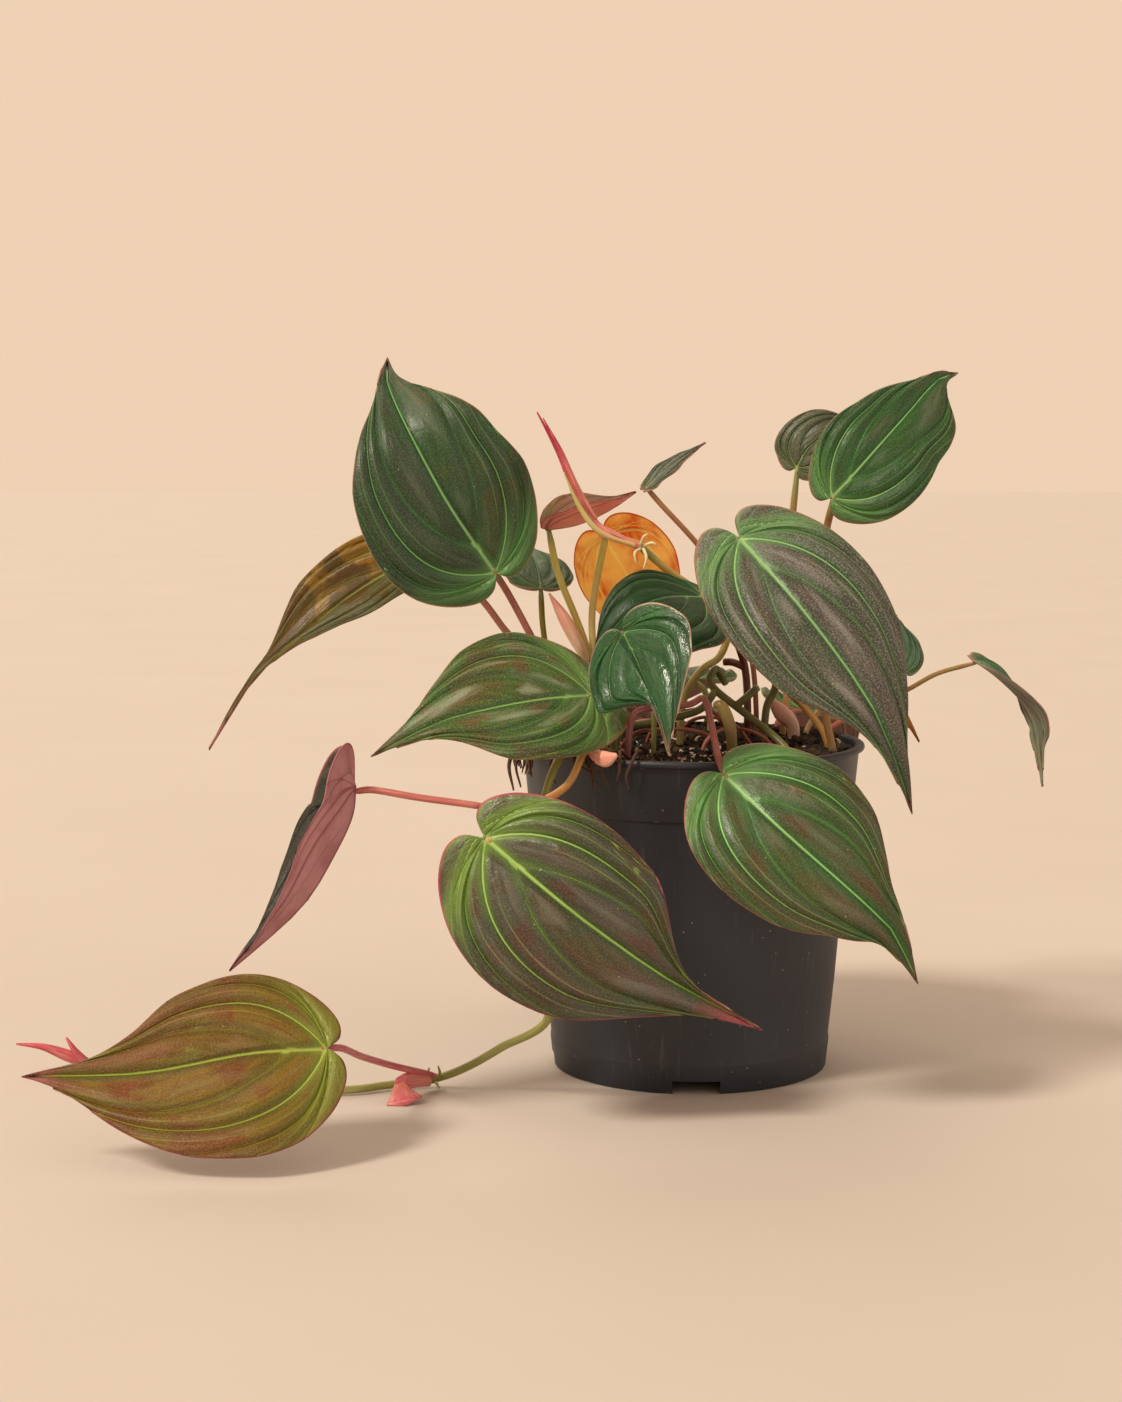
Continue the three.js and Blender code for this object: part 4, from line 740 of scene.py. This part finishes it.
# Each stem: its radius, its colours at the foot, at the leaf and in the streaks, and its
# paths, each with the leaf at its end.
STEMS = {
    "stem_left_pair": (1.3, ("a87058", "96544a", "96604c"), [
        ("leaf_upper_left", [(-38, -10), (-42, -11, 125), (-50, -13, 140), (-56, -14, 152),
            (-63, -14, 165)]),
        ("leaf_hanging_left", [(-50, -13, 140), (-57, -5, 145), (-64, 0, 151), (-71, 3, 160),
            (-80, 3, 170)]),
    ]),
    "petiole_mid_left": (1.2, ("8a8c4c", "8a8c4c", "a89a60"), [
        ("leaf_mid_left", [(-27, -26), (-28, -29, 121), (-32, -35, 129)]),
    ]),
    "petiole_small_glossy": (0.9, ("8a8c4c", "7d8a48", "a89a60"), [
        ("leaf_small_glossy", [(-14, -30), (-14, -33, 125), (-15, -36, 133), (-17, -46, 142),
            (-21, -54, 149)]),
    ]),
    "stem_brown": (1.4, ("6a3428", "5a3026", "8a5238"), [
        ("leaf_arched", [(20, 6), (20, 5, 124), (19, 6, 138), (14, -2, 151), (8, -10, 160)]),
        (None, [(19, 6, 138), (15, 8, 139.5), (12, 9.5, 139.5)]),
    ]),
    "petiole_front": (1.4, ("9c9440", "cc8458", "d8b068"), [
        ("leaf_front", [(-29, -38), (-32, -42, 116.2), (-37, -49, 115.6), (-43, -62, 106),
            (-54, -76, 101), (-64, -84, 97)]),
    ]),
    "petiole_front_right": (1.2, ("7c4440", "a86460", "c89088"), [
        ("leaf_front_right", [(-23, -40), (-21, -40, 126), (-14, -41, 129), (-3, -42, 130),
            (2, -43, 132), (4, -50, 125), (6, -60, 114)]),
    ]),
    "petiole_velvet": (1.4, ("5e6234", "6a7040", "8a6a4a"), [
        ("leaf_velvet_right", [(25, -4), (26, -3, 125), (29, -4, 133), (27, -14, 148), (21, -31, 170)]),
    ]),
    "petiole_upper_right": (1.4, ("a8844c", "8a5c2c", "7a5a30"), [
        ("leaf_upper_right", [(47, -20), (45, -18, 124), (45, -11, 145), (45, -3, 178)]),
    ]),
    "petiole_dull_right": (1.3, ("a87c3c", "9a6c34", "c89a5c"), [
        ("leaf_dull_right", [(47, -3), (44, -1, 119), (37, 1, 127), (31, 3, 133), (29, 7, 146),
            (34, 12, 175)]),
    ]),
    "petiole_curled_right": (0.9, ("a0443c", "948c54", "b86a50"), [
        ("leaf_curled_right", [(49, 16), (56, 20, 118.5), (67, 22, 123), (78, 19, 129),
            (87, 10, 135.5)]),
    ]),
    "stem_far_right": (1.1, ("a88a54", "b08a4c", "8a6a3c"), [
        ("leaf_yellow", [(42, 17), (47, 21, 122), (57, 24, 135), (63, 23, 150)]),
        ("leaf_tiny_right", [(47, 21, 122), (60, 29, 125), (73, 34, 128)]),
    ]),
    "petiole_dark_small": (1.1, ("86862c", "6e6a18", "a8a048"), [
        ("leaf_dark_small", [(-44, 5), (-47, 8, 128), (-51, 11, 149)]),
    ]),
    "stem_middle": (1.3, ("d8c888", "b8b848", "e0cc90"), [
        ("leaf_edge_on", [(-29, -4), (-32, -3, 130), (-36, -2, 145), (-40, -1, 156), (-46, 0, 171)]),
        ("leaf_orange", [(-32, -3, 130), (-34, 0, 146), (-34, 4, 160), (-31, 8, 176)]),
    ]),
    "petiole_small_top": (1, ("98504a", "a8704c", "8a8a48"), [
        ("leaf_small_top", [(24, 14), (22, 14, 140), (13, 10, 166), (2, 4, 181), (-10, 2, 194)]),
    ]),
    "petiole_back_low": (1.2, ("8a8c4c", "7d8a48", "a89a60"), [
        ("leaf_back_low", [(8, 20), (8, 22, 121), (6, 26, 128)]),
    ]),
    "petiole_back_right": (1.2, ("a85a48", "b0705c", "c88a70"), [
        ("leaf_back_right", [(32, 24), (34, 26, 118.5), (38, 30, 119.6)]),
    ]),
    "petiole_back_left": (1.2, ("a85a48", "b0705c", "c88a70"), [
        ("leaf_back_left", [(-22, 36), (-22, 40, 118), (-23, 51, 119)]),
    ]),
    "petiole_back_hanging": (1.2, ("8a8c4c", "7d8a48", "a89a60"), [
        ("leaf_back_hanging", [(8, 42), (10, 48, 117.5), (13, 60, 116.5)]),
    ]),
    "petiole_back_high": (1.3, ("b08a54", "a8703c", "8a6a3c"), [
        ("leaf_back_high", [(33, 12), (35, 17, 130), (38, 28, 150), (39, 38, 164)]),
    ]),
    "stem_crown": (1.4, ("8a8440", "c8b458", "dcc078"), [
        (None, [(-4, -7), (-3, -5, 127), (3, 0, 137), (10, 6, 141.5), (13, 8, 149), (11, 6, 157),
            (4, 2, 163.5), (-8, -4, 172), (-18, -9, 180.5)]),
    ]),
    "stem_crossing": (1.4, ("7a7c48", "6a7040", "5c4a30"), [
        (None, [(31, -26), (27, -22, 117), (20, -18, 122.5), (14.5, -14, 126.5), (8, -10, 131.5),
            (6, -8, 135), (8, -6, 138.5), (10, -2, 136), (12, 0, 133)]),
        (None, [(14.5, -14, 126.5), (18, -15, 129.5), (22, -14, 133)]),
        (None, [(-27, -17), (-23, -16, 119), (-12, -15, 121.5), (2, -13, 125), (8, -10, 131.5)]),
    ]),
    "petiole_inrolled": (1.2, ("c07068", "b05a58", "d89080"), [
        ("leaf_inrolled", [(-52, -63, 94), (-56, -69, 97), (-70, -82, 102), (-90, -83, 105),
            (-104, -80.5, 107)]),
    ]),
    "petiole_bronze": (1.2, ("c85a6c", "b05060", "e0a088"), [
        ("leaf_bronze", [(-87, -40, 4), (-90, -43, 6), (-100, -60, 13), (-108, -84, 22),
            (-113, -105, 30)]),
    ]),
}
GREEN_JOINT = "86985a"
RED_JOINTS = ("petiole_front", "petiole_inrolled", "petiole_bronze", "petiole_curled_right")
for name, (radius, colours, paths) in STEMS.items():
    rods = []
    for leaf, points in paths:
        path = stem_path(points)
        if leaf:
            path = path + [leaf_base(leaf)]
        rods.append(rod_mesh(path, stalk_radius(radius, 1, 1 if leaf else 0)))
    stalk = rods_object(name + "_stalk", rods)
    joint = None if name in RED_JOINTS else GREEN_JOINT
    stalk.data.materials.append(stalk_finish(name, *colours, joint=joint))
    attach(stalk, "root")
    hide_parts(name)

# Five old runners arch low over the soil among the stems: thin, dry, reddish brown stems
# without leaves, rooted in the soil at both ends.
RUNNERS = [
    [(-26, -12, 110), (-20, -14, 117), (-8, -16, 119), (4, -14, 117), (12, -12, 110)],
    [(-4, 6, 110), (-2, 0, 118), (4, -8, 122), (14, -10, 120), (22, -6, 110)],
    [(-16, 2, 110), (-12, -4, 119), (-2, -6, 124), (8, -4, 123), (16, 4, 110)],
    [(2, -22, 110), (5, -20, 116), (12, -16, 119), (22, -14, 117), (30, -12, 110)],
    [(-30, -2, 110), (-24, -6, 118), (-14, -8, 121), (-6, -4, 117), (0, 2, 110)],
]
RUNNER_RADII = [0.7, 0.75, 0.65, 0.7, 0.75]
runners = rods_object("runners", [rod_mesh(points, RUNNER_RADII, around=8) for points in RUNNERS])
runners.data.materials.append(stalk_finish("runner_skin", "8a4438", "9a5444", "c08868", roughness=0.5))
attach(runners, "root")
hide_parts("stem_crossing")

# The trailing vine is one thicker olive stalk with a swollen ring at each node, where
# a leaf, a sheath and short white root nubs grow.
VINE = [
    (-36, -34), (-38, -38, 116.8), (-43, -46, 116), (-49, -58, 106), (-54, -66, 82), (-54, -68, 55),
    (-49, -62, 30), (-65, -52, 17), (-77, -45, 8.5), (-88, -40, 3.4), (-103, -43, 2.1), (-118, -49, 2),
    (-150, -48, 2), (-184, -32, 2), (-211, -15, 3),
]
VINE_RADIUS = 1.5
vine_points = stem_path(VINE)
VINE_NODES = [4.5, 8, 11, 14]


def vine_radius(share):
    at = share * (len(vine_points) - 1)
    swell = sum(0.14 * np.exp(-((at - node) / 0.07) ** 2) for node in VINE_NODES)
    return VINE_RADIUS * (0.92 + swell)


NUBS = [
    [(-86, -41.5, 4), (-85.5, -43.5, 6.5), (-86, -44.5, 9)],
    [(-88, -41, 4), (-89.5, -42.5, 6), (-89, -43, 8)],
    [(-87, -42, 3), (-86.5, -44.5, 3), (-85.5, -46.5, 2)],
]
nub_rods = [rod_mesh(nub, [0.55, 0.5, 0.25], step=0.5, around=8) for nub in NUBS]
vine = rods_object("vine_trailing_stalk", [rod_mesh(vine_points, vine_radius, step=1.0)] + nub_rods)
vine.data.materials.append(stalk_finish("vine_skin", "8e9048", "8a8c4a", "a8a468"))
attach(vine, "root")
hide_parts("vine_trailing")

# Spears, sheaths and bracts are new leaves still rolled up and the papery scales that wrapped
# them: pink to red or cream, smooth and pointed.
# Each: its colours, and its rods with their points, radii and flatness.
SHEATHS = {
    "spear_crown": (("ec9c88", "c82c54", "8c2848"), [
        ([(-17, -8.5, 180), (-27, -12, 184.5), (-34, -12, 189), (-41, -15, 202), (-46, -17, 213),
         (-53, -20, 226)], [1.4, 1.5, 1.6, 1.5, 0.9, 0.25], 1),
        ([(-33, -13.5, 190), (-40, -16.5, 202), (-45, -18.5, 213), (-51, -21, 224)],
         [0.5, 0.8, 0.7, 0.2], 1),
    ]),
    "sheath_crown": (("d8c078", "b8c070", "e8a890"), [
        ([(-20, -11, 181), (-31.5, -14, 185.5), (-38.5, -15, 194), (-44, -17, 206)],
         [1.0, 1.3, 1.1, 0.25], 0.8),
    ]),
    "nubs_crown": (("e8dcb0", "e4d8a8", "c8c088"), [
        ([(-17, -10, 180), (-16, -12, 177), (-17, -12.5, 173)], [0.6, 0.5, 0.25], 1),
        ([(-18, -10, 180), (-20, -12.5, 178.5), (-19.5, -13, 175)], [0.6, 0.5, 0.25], 1),
        ([(-17, -10, 181), (-14, -12, 182), (-12.5, -12, 181)], [0.6, 0.5, 0.25], 1),
        ([(-18, -10, 181), (-17, -12, 184), (-15.5, -12, 185)], [0.6, 0.45, 0.25], 1),
    ]),
    "spear_vine": (("c85a68", "c03a50", "e89a90"), [
        ([(-209, -16, 3), (-215, -18, 6), (-223, -20, 9.5), (-232, -20, 10.5)], [1.9, 2.1, 1.2, 0.35],
         1),
        ([(-209, -17, 3.4), (-212, -18.5, 7.5), (-215, -19, 12.5)], [1.7, 1.2, 0.35], 1),
    ]),
    "bract_vine": (("dc8478", "d0606c", "e8a898"), [
        ([(-88.8, -43.2, 3.4), (-93, -48.5, 5), (-96.5, -52, 5.8), (-99.5, -54.5, 6.2)],
         [1.7, 2.3, 2.8, 1.2], 0.5),
        ([(-98.5, -53.5, 6.6), (-97.5, -56.5, 3.6), (-96.3, -60.5, 1.4)], [1.1, 3.4, 6.2], 0.14),
    ]),
    "sheath_middle": (("e0cc98", "f09c94", "fcdccc"), [
        ([(-36, -4, 141), (-39, -4.7, 147), (-44, -6, 156), (-49, -7, 164.5)], [1.4, 3.2, 3, 0.5], 0.7),
    ]),
    "sheath_rim": (("e0a088", "e89c88", "f0c8b0"), [
        ([(-36, -49.5, 115.4), (-33, -52, 113.8), (-30, -55, 113.6), (-27, -58, 115.2)],
         [1, 2.4, 2.6, 0.8], 0.6),
    ]),
    "sheath_cream": (("dcb8a0", "e8a898", "f0d8c8"), [
        ([(36, 7, 106), (36, 6.5, 117), (32, 7, 122), (28, 7.5, 127)], [1.6, 2.3, 2.8, 0.8], 0.65),
    ]),
    "bud_front": (("7a7c40", "a89454", "b87a5c"), [
        ([(12, -34, 104), (12, -34, 116), (11, -34, 123), (8.5, -33, 128.5), (6, -32, 129)],
         [1.7, 1.8, 2, 1.9, 0.9], 1),
    ]),
}
for name, (colours, rods) in SHEATHS.items():
    built = [rod_mesh(points, radii, step=0.8, around=18, flat=flat) for points, radii, flat in rods]
    sheath = rods_object(name + "_sheath", built)
    sheath.data.materials.append(stalk_finish(name, *colours, roughness=0.33))
    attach(sheath, "root")
    node = "spear_crown" if name in ("sheath_crown", "nubs_crown") else name
    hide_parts(node)

# Three dry aerial roots grow out of the soil and hang over the rim at the left. They are
# dark brown, wiry and branched, and taper to a blunt point.
ROOT_PATHS = [
    [(-46, -20), (-50, -24, 116.6), (-55.5, -27.5, 116), (-60, -30, 109), (-58.5, -31, 101)],
    [(-50, -24, 116.6), (-58, -22, 115.3), (-62.5, -22, 108), (-61, -25, 99)],
    [(-55.5, -27.5, 116), (-56, -33, 113.8), (-55, -38, 106)],
]
ROOT_RADII = [0.75, 0.7, 0.75, 0.6, 0.3]
root_rods = [rod_mesh(stem_path(points), ROOT_RADII, step=0.9, around=8) for points in ROOT_PATHS]

# Finer hair roots come up along the left of the rim, bend over it and hang down by about
# a centimetre, each for itself.
HAIR_ANGLES = [193, 196, 199, 201, 204, 208, 219, 229, 232, 235, 237, 240, 243, 248, 198, 206, 234, 239]
HAIR_RADII = [0.4, 0.6, 0.62, 0.5, 0.2]
HAIR_SWAY = 2.6
random = np.random.default_rng(5)
for angle in HAIR_ANGLES:
    turn = math.radians(angle)
    outward = np.array([math.cos(turn), math.sin(turn), 0])
    sideways = np.array([-math.sin(turn), math.cos(turn), 0])
    drop = random.uniform(4, 11)
    bend = ((52, 112.5), (57, 115.5), (61.5, 114.2), (62.2, 113.2 - drop / 2), (61.5, 113 - drop))
    strand = [outward * radius + sideways * random.uniform(-HAIR_SWAY, HAIR_SWAY) + (0, 0, height)
              for radius, height in bend]
    root_rods.append(rod_mesh(strand, HAIR_RADII, step=1.0, around=6))
roots = rods_object("roots_rim_strands", root_rods)
roots.data.materials.append(stalk_finish("dry_root", "3a2418", "4a3020", "6a4a30", roughness=0.8))
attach(roots, "root")
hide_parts("roots_rim")

# The pot is one thin moulding of black plastic, satin and dusty, with a rolled rim, a collar
# with a step under it, a fine line above the foot, and notches and slots to drain it.
RIM_RADIUS = 60
POT_HEIGHT = 113
BASE_RADIUS = 47.8
POT_WALL = 1.2
RIM_BEAD = 2.4
COLLAR_BOTTOM = POT_HEIGHT - 20.5
COLLAR_STEP = 1.1
FOOT_LINE = 10
FLOOR_HEIGHT = 3.2
PAD_RADIUS = 17
POT_SIDES = 160


def wall_radius(height):
    return BASE_RADIUS + (RIM_RADIUS - 1.7 - BASE_RADIUS) * height / POT_HEIGHT


def inner_radius(height):
    return wall_radius(height) - POT_WALL - 0.3


bead = POT_HEIGHT - RIM_BEAD
base, foot, collar = BASE_RADIUS, wall_radius(FOOT_LINE), wall_radius(COLLAR_BOTTOM)
hollow, mouth, lip = inner_radius(COLLAR_BOTTOM), inner_radius(POT_HEIGHT), wall_radius(bead)
POT_PROFILE = [
    (PAD_RADIUS - 0.4, 0), (PAD_RADIUS, 0.3), (PAD_RADIUS + 2.5, FLOOR_HEIGHT),
    (base - POT_WALL - 0.6, FLOOR_HEIGHT), (base - POT_WALL - 1, 0), (base - 0.8, 0),
    (base - 0.25, 0.2), (base, 0.8), (wall_radius(9.6), 9.6), (foot - 0.1, FOOT_LINE),
    (foot - 0.35, FOOT_LINE + 0.5), (wall_radius(30) - 0.2, 30), (wall_radius(60) - 0.5, 60),
    (collar - COLLAR_STEP, COLLAR_BOTTOM - 0.6), (collar - COLLAR_STEP + 0.15, COLLAR_BOTTOM - 0.1),
    (collar - 0.3, COLLAR_BOTTOM + 0.25), (collar, COLLAR_BOTTOM + 0.9), (lip - 0.1, bead - 0.8),
    (lip + 0.2, bead - 0.2), (RIM_RADIUS - 0.9, bead + 0.1), (RIM_RADIUS - 0.25, bead + 0.5),
    (RIM_RADIUS, bead + 1.1), (RIM_RADIUS - 0.05, POT_HEIGHT - 0.8),
    (RIM_RADIUS - 0.35, POT_HEIGHT - 0.25), (RIM_RADIUS - 0.9, POT_HEIGHT),
    (mouth + 0.7, POT_HEIGHT - 0.05), (mouth + 0.15, POT_HEIGHT - 0.4),
    (inner_radius(POT_HEIGHT - 1), POT_HEIGHT - 1.2), (hollow, COLLAR_BOTTOM),
    (hollow - 0.8, COLLAR_BOTTOM - 1), (inner_radius(FLOOR_HEIGHT) - 0.3, FLOOR_HEIGHT + POT_WALL),
    (PAD_RADIUS + 1.8, FLOOR_HEIGHT + POT_WALL), (PAD_RADIUS - 0.7, POT_WALL),
]


def turned(profile, sides):
    """Rings of points about the pot's axis, from the first of the profile to the last."""
    turns = [2 * math.pi * k / sides for k in range(sides)]
    return [(radius * math.cos(a), radius * math.sin(a), z) for radius, z in profile for a in turns]


def make_plain(piece):
    """The piece's shape with its modifier's work in it, as a plain mesh without modifiers."""
    bpy.context.view_layer.update()
    evaluated = piece.evaluated_get(bpy.context.evaluated_depsgraph_get())
    mesh = bpy.data.meshes.new_from_object(evaluated)
    piece.modifiers.clear()
    piece.data = mesh


def cut(piece, cutter):
    modifier = piece.modifiers.new("cut", "BOOLEAN")
    modifier.operation = "DIFFERENCE"
    modifier.solver = "EXACT"
    modifier.object = cutter
    make_plain(piece)
    bpy.data.objects.remove(cutter)


def prism(outline, low, high):
    """A closed upright block on an outline: its points and its outward faces."""
    count = len(outline)
    points = [(x, y, z) for z in (low, high) for x, y in outline]
    faces = [(k - 1, k, k + count, k - 1 + count) for k in range(1, count)]
    faces.append((count - 1, 0, count, 2 * count - 1))
    return points, faces + [tuple(range(count - 1, -1, -1)), tuple(range(count, 2 * count))]


NOTCH_WIDTH, NOTCH_DEPTH, NOTCH_HEIGHT = 16, 12, 4.5
NOTCHES = 4
HOLES = 8
HOLE_RADIUS = 2.6
HOLE_CIRCLE = 32
HOLE_SIDES = 24
blocks = []
for i in range(NOTCHES):
    c, s = math.cos(2 * math.pi * i / NOTCHES), math.sin(2 * math.pi * i / NOTCHES)
    corners = [(x * NOTCH_WIDTH / 2, y * NOTCH_DEPTH / 2 - BASE_RADIUS)
               for x, y in ((-1, -1), (1, -1), (1, 1), (-1, 1))]
    outline = [(x * c - y * s, x * s + y * c) for x, y in corners]
    blocks.append(prism(outline, -NOTCH_HEIGHT, NOTCH_HEIGHT))
for i in range(HOLES):
    turn = 2 * math.pi * (i + 0.5) / HOLES
    middle = (HOLE_CIRCLE * math.cos(turn), HOLE_CIRCLE * math.sin(turn))
    outline = [(middle[0] + x, middle[1] + y) for x, y, _ in turned([(HOLE_RADIUS, 0)], HOLE_SIDES)]
    blocks.append(prism(outline, FLOOR_HEIGHT - 4, FLOOR_HEIGHT + 4))
cutter_points, cutter_faces = [], []
for points, faces in blocks:
    cutter_faces += [tuple(v + len(cutter_points) for v in face) for face in faces]
    cutter_points += points
shell_points = turned(POT_PROFILE, POT_SIDES) + [(0, 0, 0), (0, 0, POT_WALL)]
pot = mesh_object("pot_shell", shell_points, ring_faces(len(POT_PROFILE), POT_SIDES))
cut(pot, mesh_object("pot_cutter", cutter_points, cutter_faces, smooth=False))

plastic = Finish("black_plastic", roughness=0.5)
spot = plastic.place()
worn = plastic.noise(plastic.stretched(spot, (1, 1, 0.4)), 22, 4)
plastic.tint(plastic.mix(plastic.remap(worn, 0.35, 0.7), "22262e", "2a2f39"))
scuffs = plastic.noise(plastic.stretched(spot, (3, 3, 0.25)), 160, 2)
plastic.paint(plastic.remap(scuffs, 0.6, 0.75, 0, 0.35), "4c4d52")
dust = plastic.dots(spot, 420, 0.12, 0.16)
plastic.paint(plastic.times(dust, 0.7), "a8a49c")
plastic.set("Roughness", plastic.remap(worn, 0.3, 0.7, 0.42, 0.58))
plastic.set("Normal", plastic.bump(plastic.noise(spot, 1500, 2), 0.05, 0.35))
pot.data.materials.append(plastic.material)
pot.data.set_sharp_from_angle(angle=math.radians(35))
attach(pot, "root")
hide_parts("pot")

# The soil fills the pot to just under the rim. It is dark damp potting mix: a rough lumpy
# top of crumbs, bark bits and white perlite grains.
SOIL_CLEAR = POT_WALL + 0.6 + 0.3
soil_edge = wall_radius(SOIL_LEVEL) - SOIL_CLEAR
soil_rng = np.random.default_rng(11)
RINGS = 90
AROUND = 240
WAVES = 14
ring_share = np.linspace(0, 1, RINGS)[1:]
turns = np.linspace(0, 2 * np.pi, AROUND, endpoint=False)
top_x = soil_edge * ring_share[:, None] * np.cos(turns)
top_y = soil_edge * ring_share[:, None] * np.sin(turns)
rough = np.zeros_like(top_x)
for size, height in ((3.4, 0.5), (1.7, 0.35), (0.9, 0.22)):
    for _ in range(WAVES):
        a, b, c = soil_rng.normal(0, 1 / size, 2).tolist() + [soil_rng.uniform(0, 6.3)]
        rough += height / WAVES ** 0.5 * np.sin(np.pi * (a * top_x + b * top_y) + c)
fade = 1 - smooth_step((ring_share[:, None] - 0.9) / 0.1)
top_z = soil_height(top_x, top_y) + rough * 1.2 * (0.4 + 0.6 * fade)
bottom = FLOOR_HEIGHT + POT_WALL + 0.3
LOW_RINGS = [
    (wall_radius(5) - SOIL_CLEAR - COLLAR_STEP - 0.4, bottom),
    (wall_radius(COLLAR_BOTTOM - 2) - SOIL_CLEAR - COLLAR_STEP, COLLAR_BOTTOM - 2),
    (wall_radius(COLLAR_BOTTOM + 2) - SOIL_CLEAR, COLLAR_BOTTOM + 2),
]
top = np.stack([top_x, top_y, top_z], -1)[::-1].reshape(-1, 3).tolist()
soil_points = turned(LOW_RINGS, AROUND) + top + [(0, 0, bottom), (0, 0, float(soil_height(0, 0)))]
soil = mesh_object("soil_mix", soil_points, ring_faces(len(LOW_RINGS) + RINGS - 1, AROUND))
earth = Finish("dark_soil", roughness=0.9)
spot = earth.place()
clump = earth.noise(spot, 260, 5)
earth.tint(earth.mix(earth.remap(clump, 0.35, 0.65), "140f0c", "33261e"))
earth.paint(earth.remap(earth.noise(spot, 900, 3), 0.62, 0.75, 0, 0.6), "5a4434")
earth.set("Normal", earth.bump(clump, 1.2, 0.9))
soil.data.materials.append(earth.material)
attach(soil, "root")
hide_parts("soil")

# Crumbs of soil, bits of bark and white perlite lie loose on top of the mix, each a rough
# little lump of its own. The perlite is thickest in front of the stems.
BED_STEPS = 41


def scatter_tree(name, material, radius, squash, seed, big):
    """A tree that strews rough little lumps over a surface: turned and sized at random, and dented."""
    tree = bpy.data.node_groups.new(name, "GeometryNodeTree")
    for label, way, kind in (("Geometry", "INPUT", "Geometry"), ("Grain radius", "INPUT", "Float"),
                             ("Density", "INPUT", "Float"), ("Geometry", "OUTPUT", "Geometry")):
        tree.interface.new_socket(label, in_out=way, socket_type="NodeSocket" + kind)
    given = tree.nodes.new("NodeGroupInput").outputs
    points = add_node(tree, "GeometryNodeDistributePointsOnFaces", {
        "Mesh": given["Geometry"], "Density": given["Density"], "Seed": seed})
    lump = add_node(tree, "GeometryNodeMeshIcoSphere", {
        "Subdivisions": 2, "Radius": given["Grain radius"]})
    turn = add_node(tree, "FunctionNodeRandomValue", {
        "Max": (6.28, 6.28, 6.28), "Seed": seed + 1}, data_type="FLOAT_VECTOR")
    grow = add_node(tree, "FunctionNodeRandomValue", {
        "Min": (0.45, 0.45, 0.45 * squash), "Max": (big, big, big * squash), "Seed": seed + 2,
    }, data_type="FLOAT_VECTOR")
    strewn = add_node(tree, "GeometryNodeInstanceOnPoints", {
        "Points": points, "Instance": lump, "Rotation": turn, "Scale": grow})
    real = add_node(tree, "GeometryNodeRealizeInstances", {"Geometry": strewn})
    dents = add_node(tree, "ShaderNodeTexNoise", {"Scale": 0.55 / radius}, "Color")
    centred = add_node(tree, "ShaderNodeVectorMath", {0: dents, 1: (0.5, 0.5, 0.5)}, operation="SUBTRACT")
    push = add_node(tree, "ShaderNodeVectorMath", {
        0: centred, "Scale": radius * 1.6}, operation="SCALE")
    rough_up = add_node(tree, "GeometryNodeSetPosition", {"Geometry": real, "Offset": push})
    paint = add_node(tree, "GeometryNodeSetMaterial", {"Geometry": rough_up, "Material": material})
    put(tree, tree.nodes.new("NodeGroupOutput").inputs["Geometry"], paint)
    return tree


def scattered(name, bed, tree, sizes):
    """The scattered lumps on a bed, as a plain mesh of their own."""
    piece = bpy.data.objects.new(name, bed.data.copy())
    bpy.context.scene.collection.objects.link(piece)
    modifier = piece.modifiers.new("scatter", "NODES")
    modifier.node_group = tree
    for item in tree.interface.items_tree:
        if item.in_out == "INPUT" and item.name in sizes:
            modifier[item.identifier] = sizes[item.name]
    make_plain(piece)
    piece.data.polygons.foreach_set("use_smooth", [False] * len(piece.data.polygons))
    return piece


def soil_bed(name, radius, centre=(0, 0)):
    """A patch of the soil's top, for grains to lie on."""
    points = []
    steps = np.linspace(-radius, radius, BED_STEPS)
    for y in steps:
        for x in steps:
            far = math.hypot(x, y)
            shrink = min(1, radius / far) if far > 0 else 1
            px, py = centre[0] + x * shrink, centre[1] + y * shrink
            points.append((px, py, float(soil_height(px, py))))
    corners = [j * BED_STEPS + i for j in range(BED_STEPS - 1) for i in range(BED_STEPS - 1)]
    faces = [(a, a + 1, a + BED_STEPS + 1, a + BED_STEPS) for a in corners]
    return mesh_object(name, points, faces)


def grain_finish(name, roughness, patches, dark, light, bump_scale, bump_mm, grain=(1, 1, 1)):
    """A grain in two tones, with a finely pitted face."""
    skin = Finish(name, roughness)
    place = skin.place()
    scale, detail, low, high = patches
    skin.tint(skin.mix(skin.remap(skin.noise(place, scale, detail), low, high), dark, light))
    pits = skin.noise(skin.stretched(place, grain), bump_scale, 3)
    skin.set("Normal", skin.bump(pits, bump_mm, 0.8))
    return skin.material


crumb = grain_finish("soil_crumb", 0.95, (180, 2, 0.45, 0.6), "1a1310", "43301f", 1600, 0.2)
white = grain_finish("perlite_grain", 0.8, (300, 3, 0.35, 0.7), "f0e2cc", "b89a7c", 1500, 0.25)
bark = grain_finish("bark_bit", 0.85, (220, 3, 0.4, 0.65), "3a2415", "6a4426", 700, 0.3, (1, 1, 4))

bed = soil_bed("bed", soil_edge - 2.5)
front_bed = soil_bed("front_bed", 30, centre=(2, -20))
STREWN = [
    ("soil_crumbs", bed, crumb, 0.0011, 0.7, 180000, 3, 2.1),
    ("soil_bark", bed, bark, 0.0016, 0.35, 14000, 8, 1.7),
    ("soil_perlite", bed, white, 0.001, 0.8, 10000, 21, 1.4),
    ("soil_perlite_front", front_bed, white, 0.0011, 0.8, 48000, 33, 1.6),
]
for name, where, material, radius, squash, density, seed, big in STREWN:
    tree = scatter_tree(name, material, radius, squash, seed, big)
    grains = scattered(name, where, tree, {"Grain radius": radius, "Density": density})
    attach(grains, "root")
bpy.data.objects.remove(bed)
bpy.data.objects.remove(front_bed)
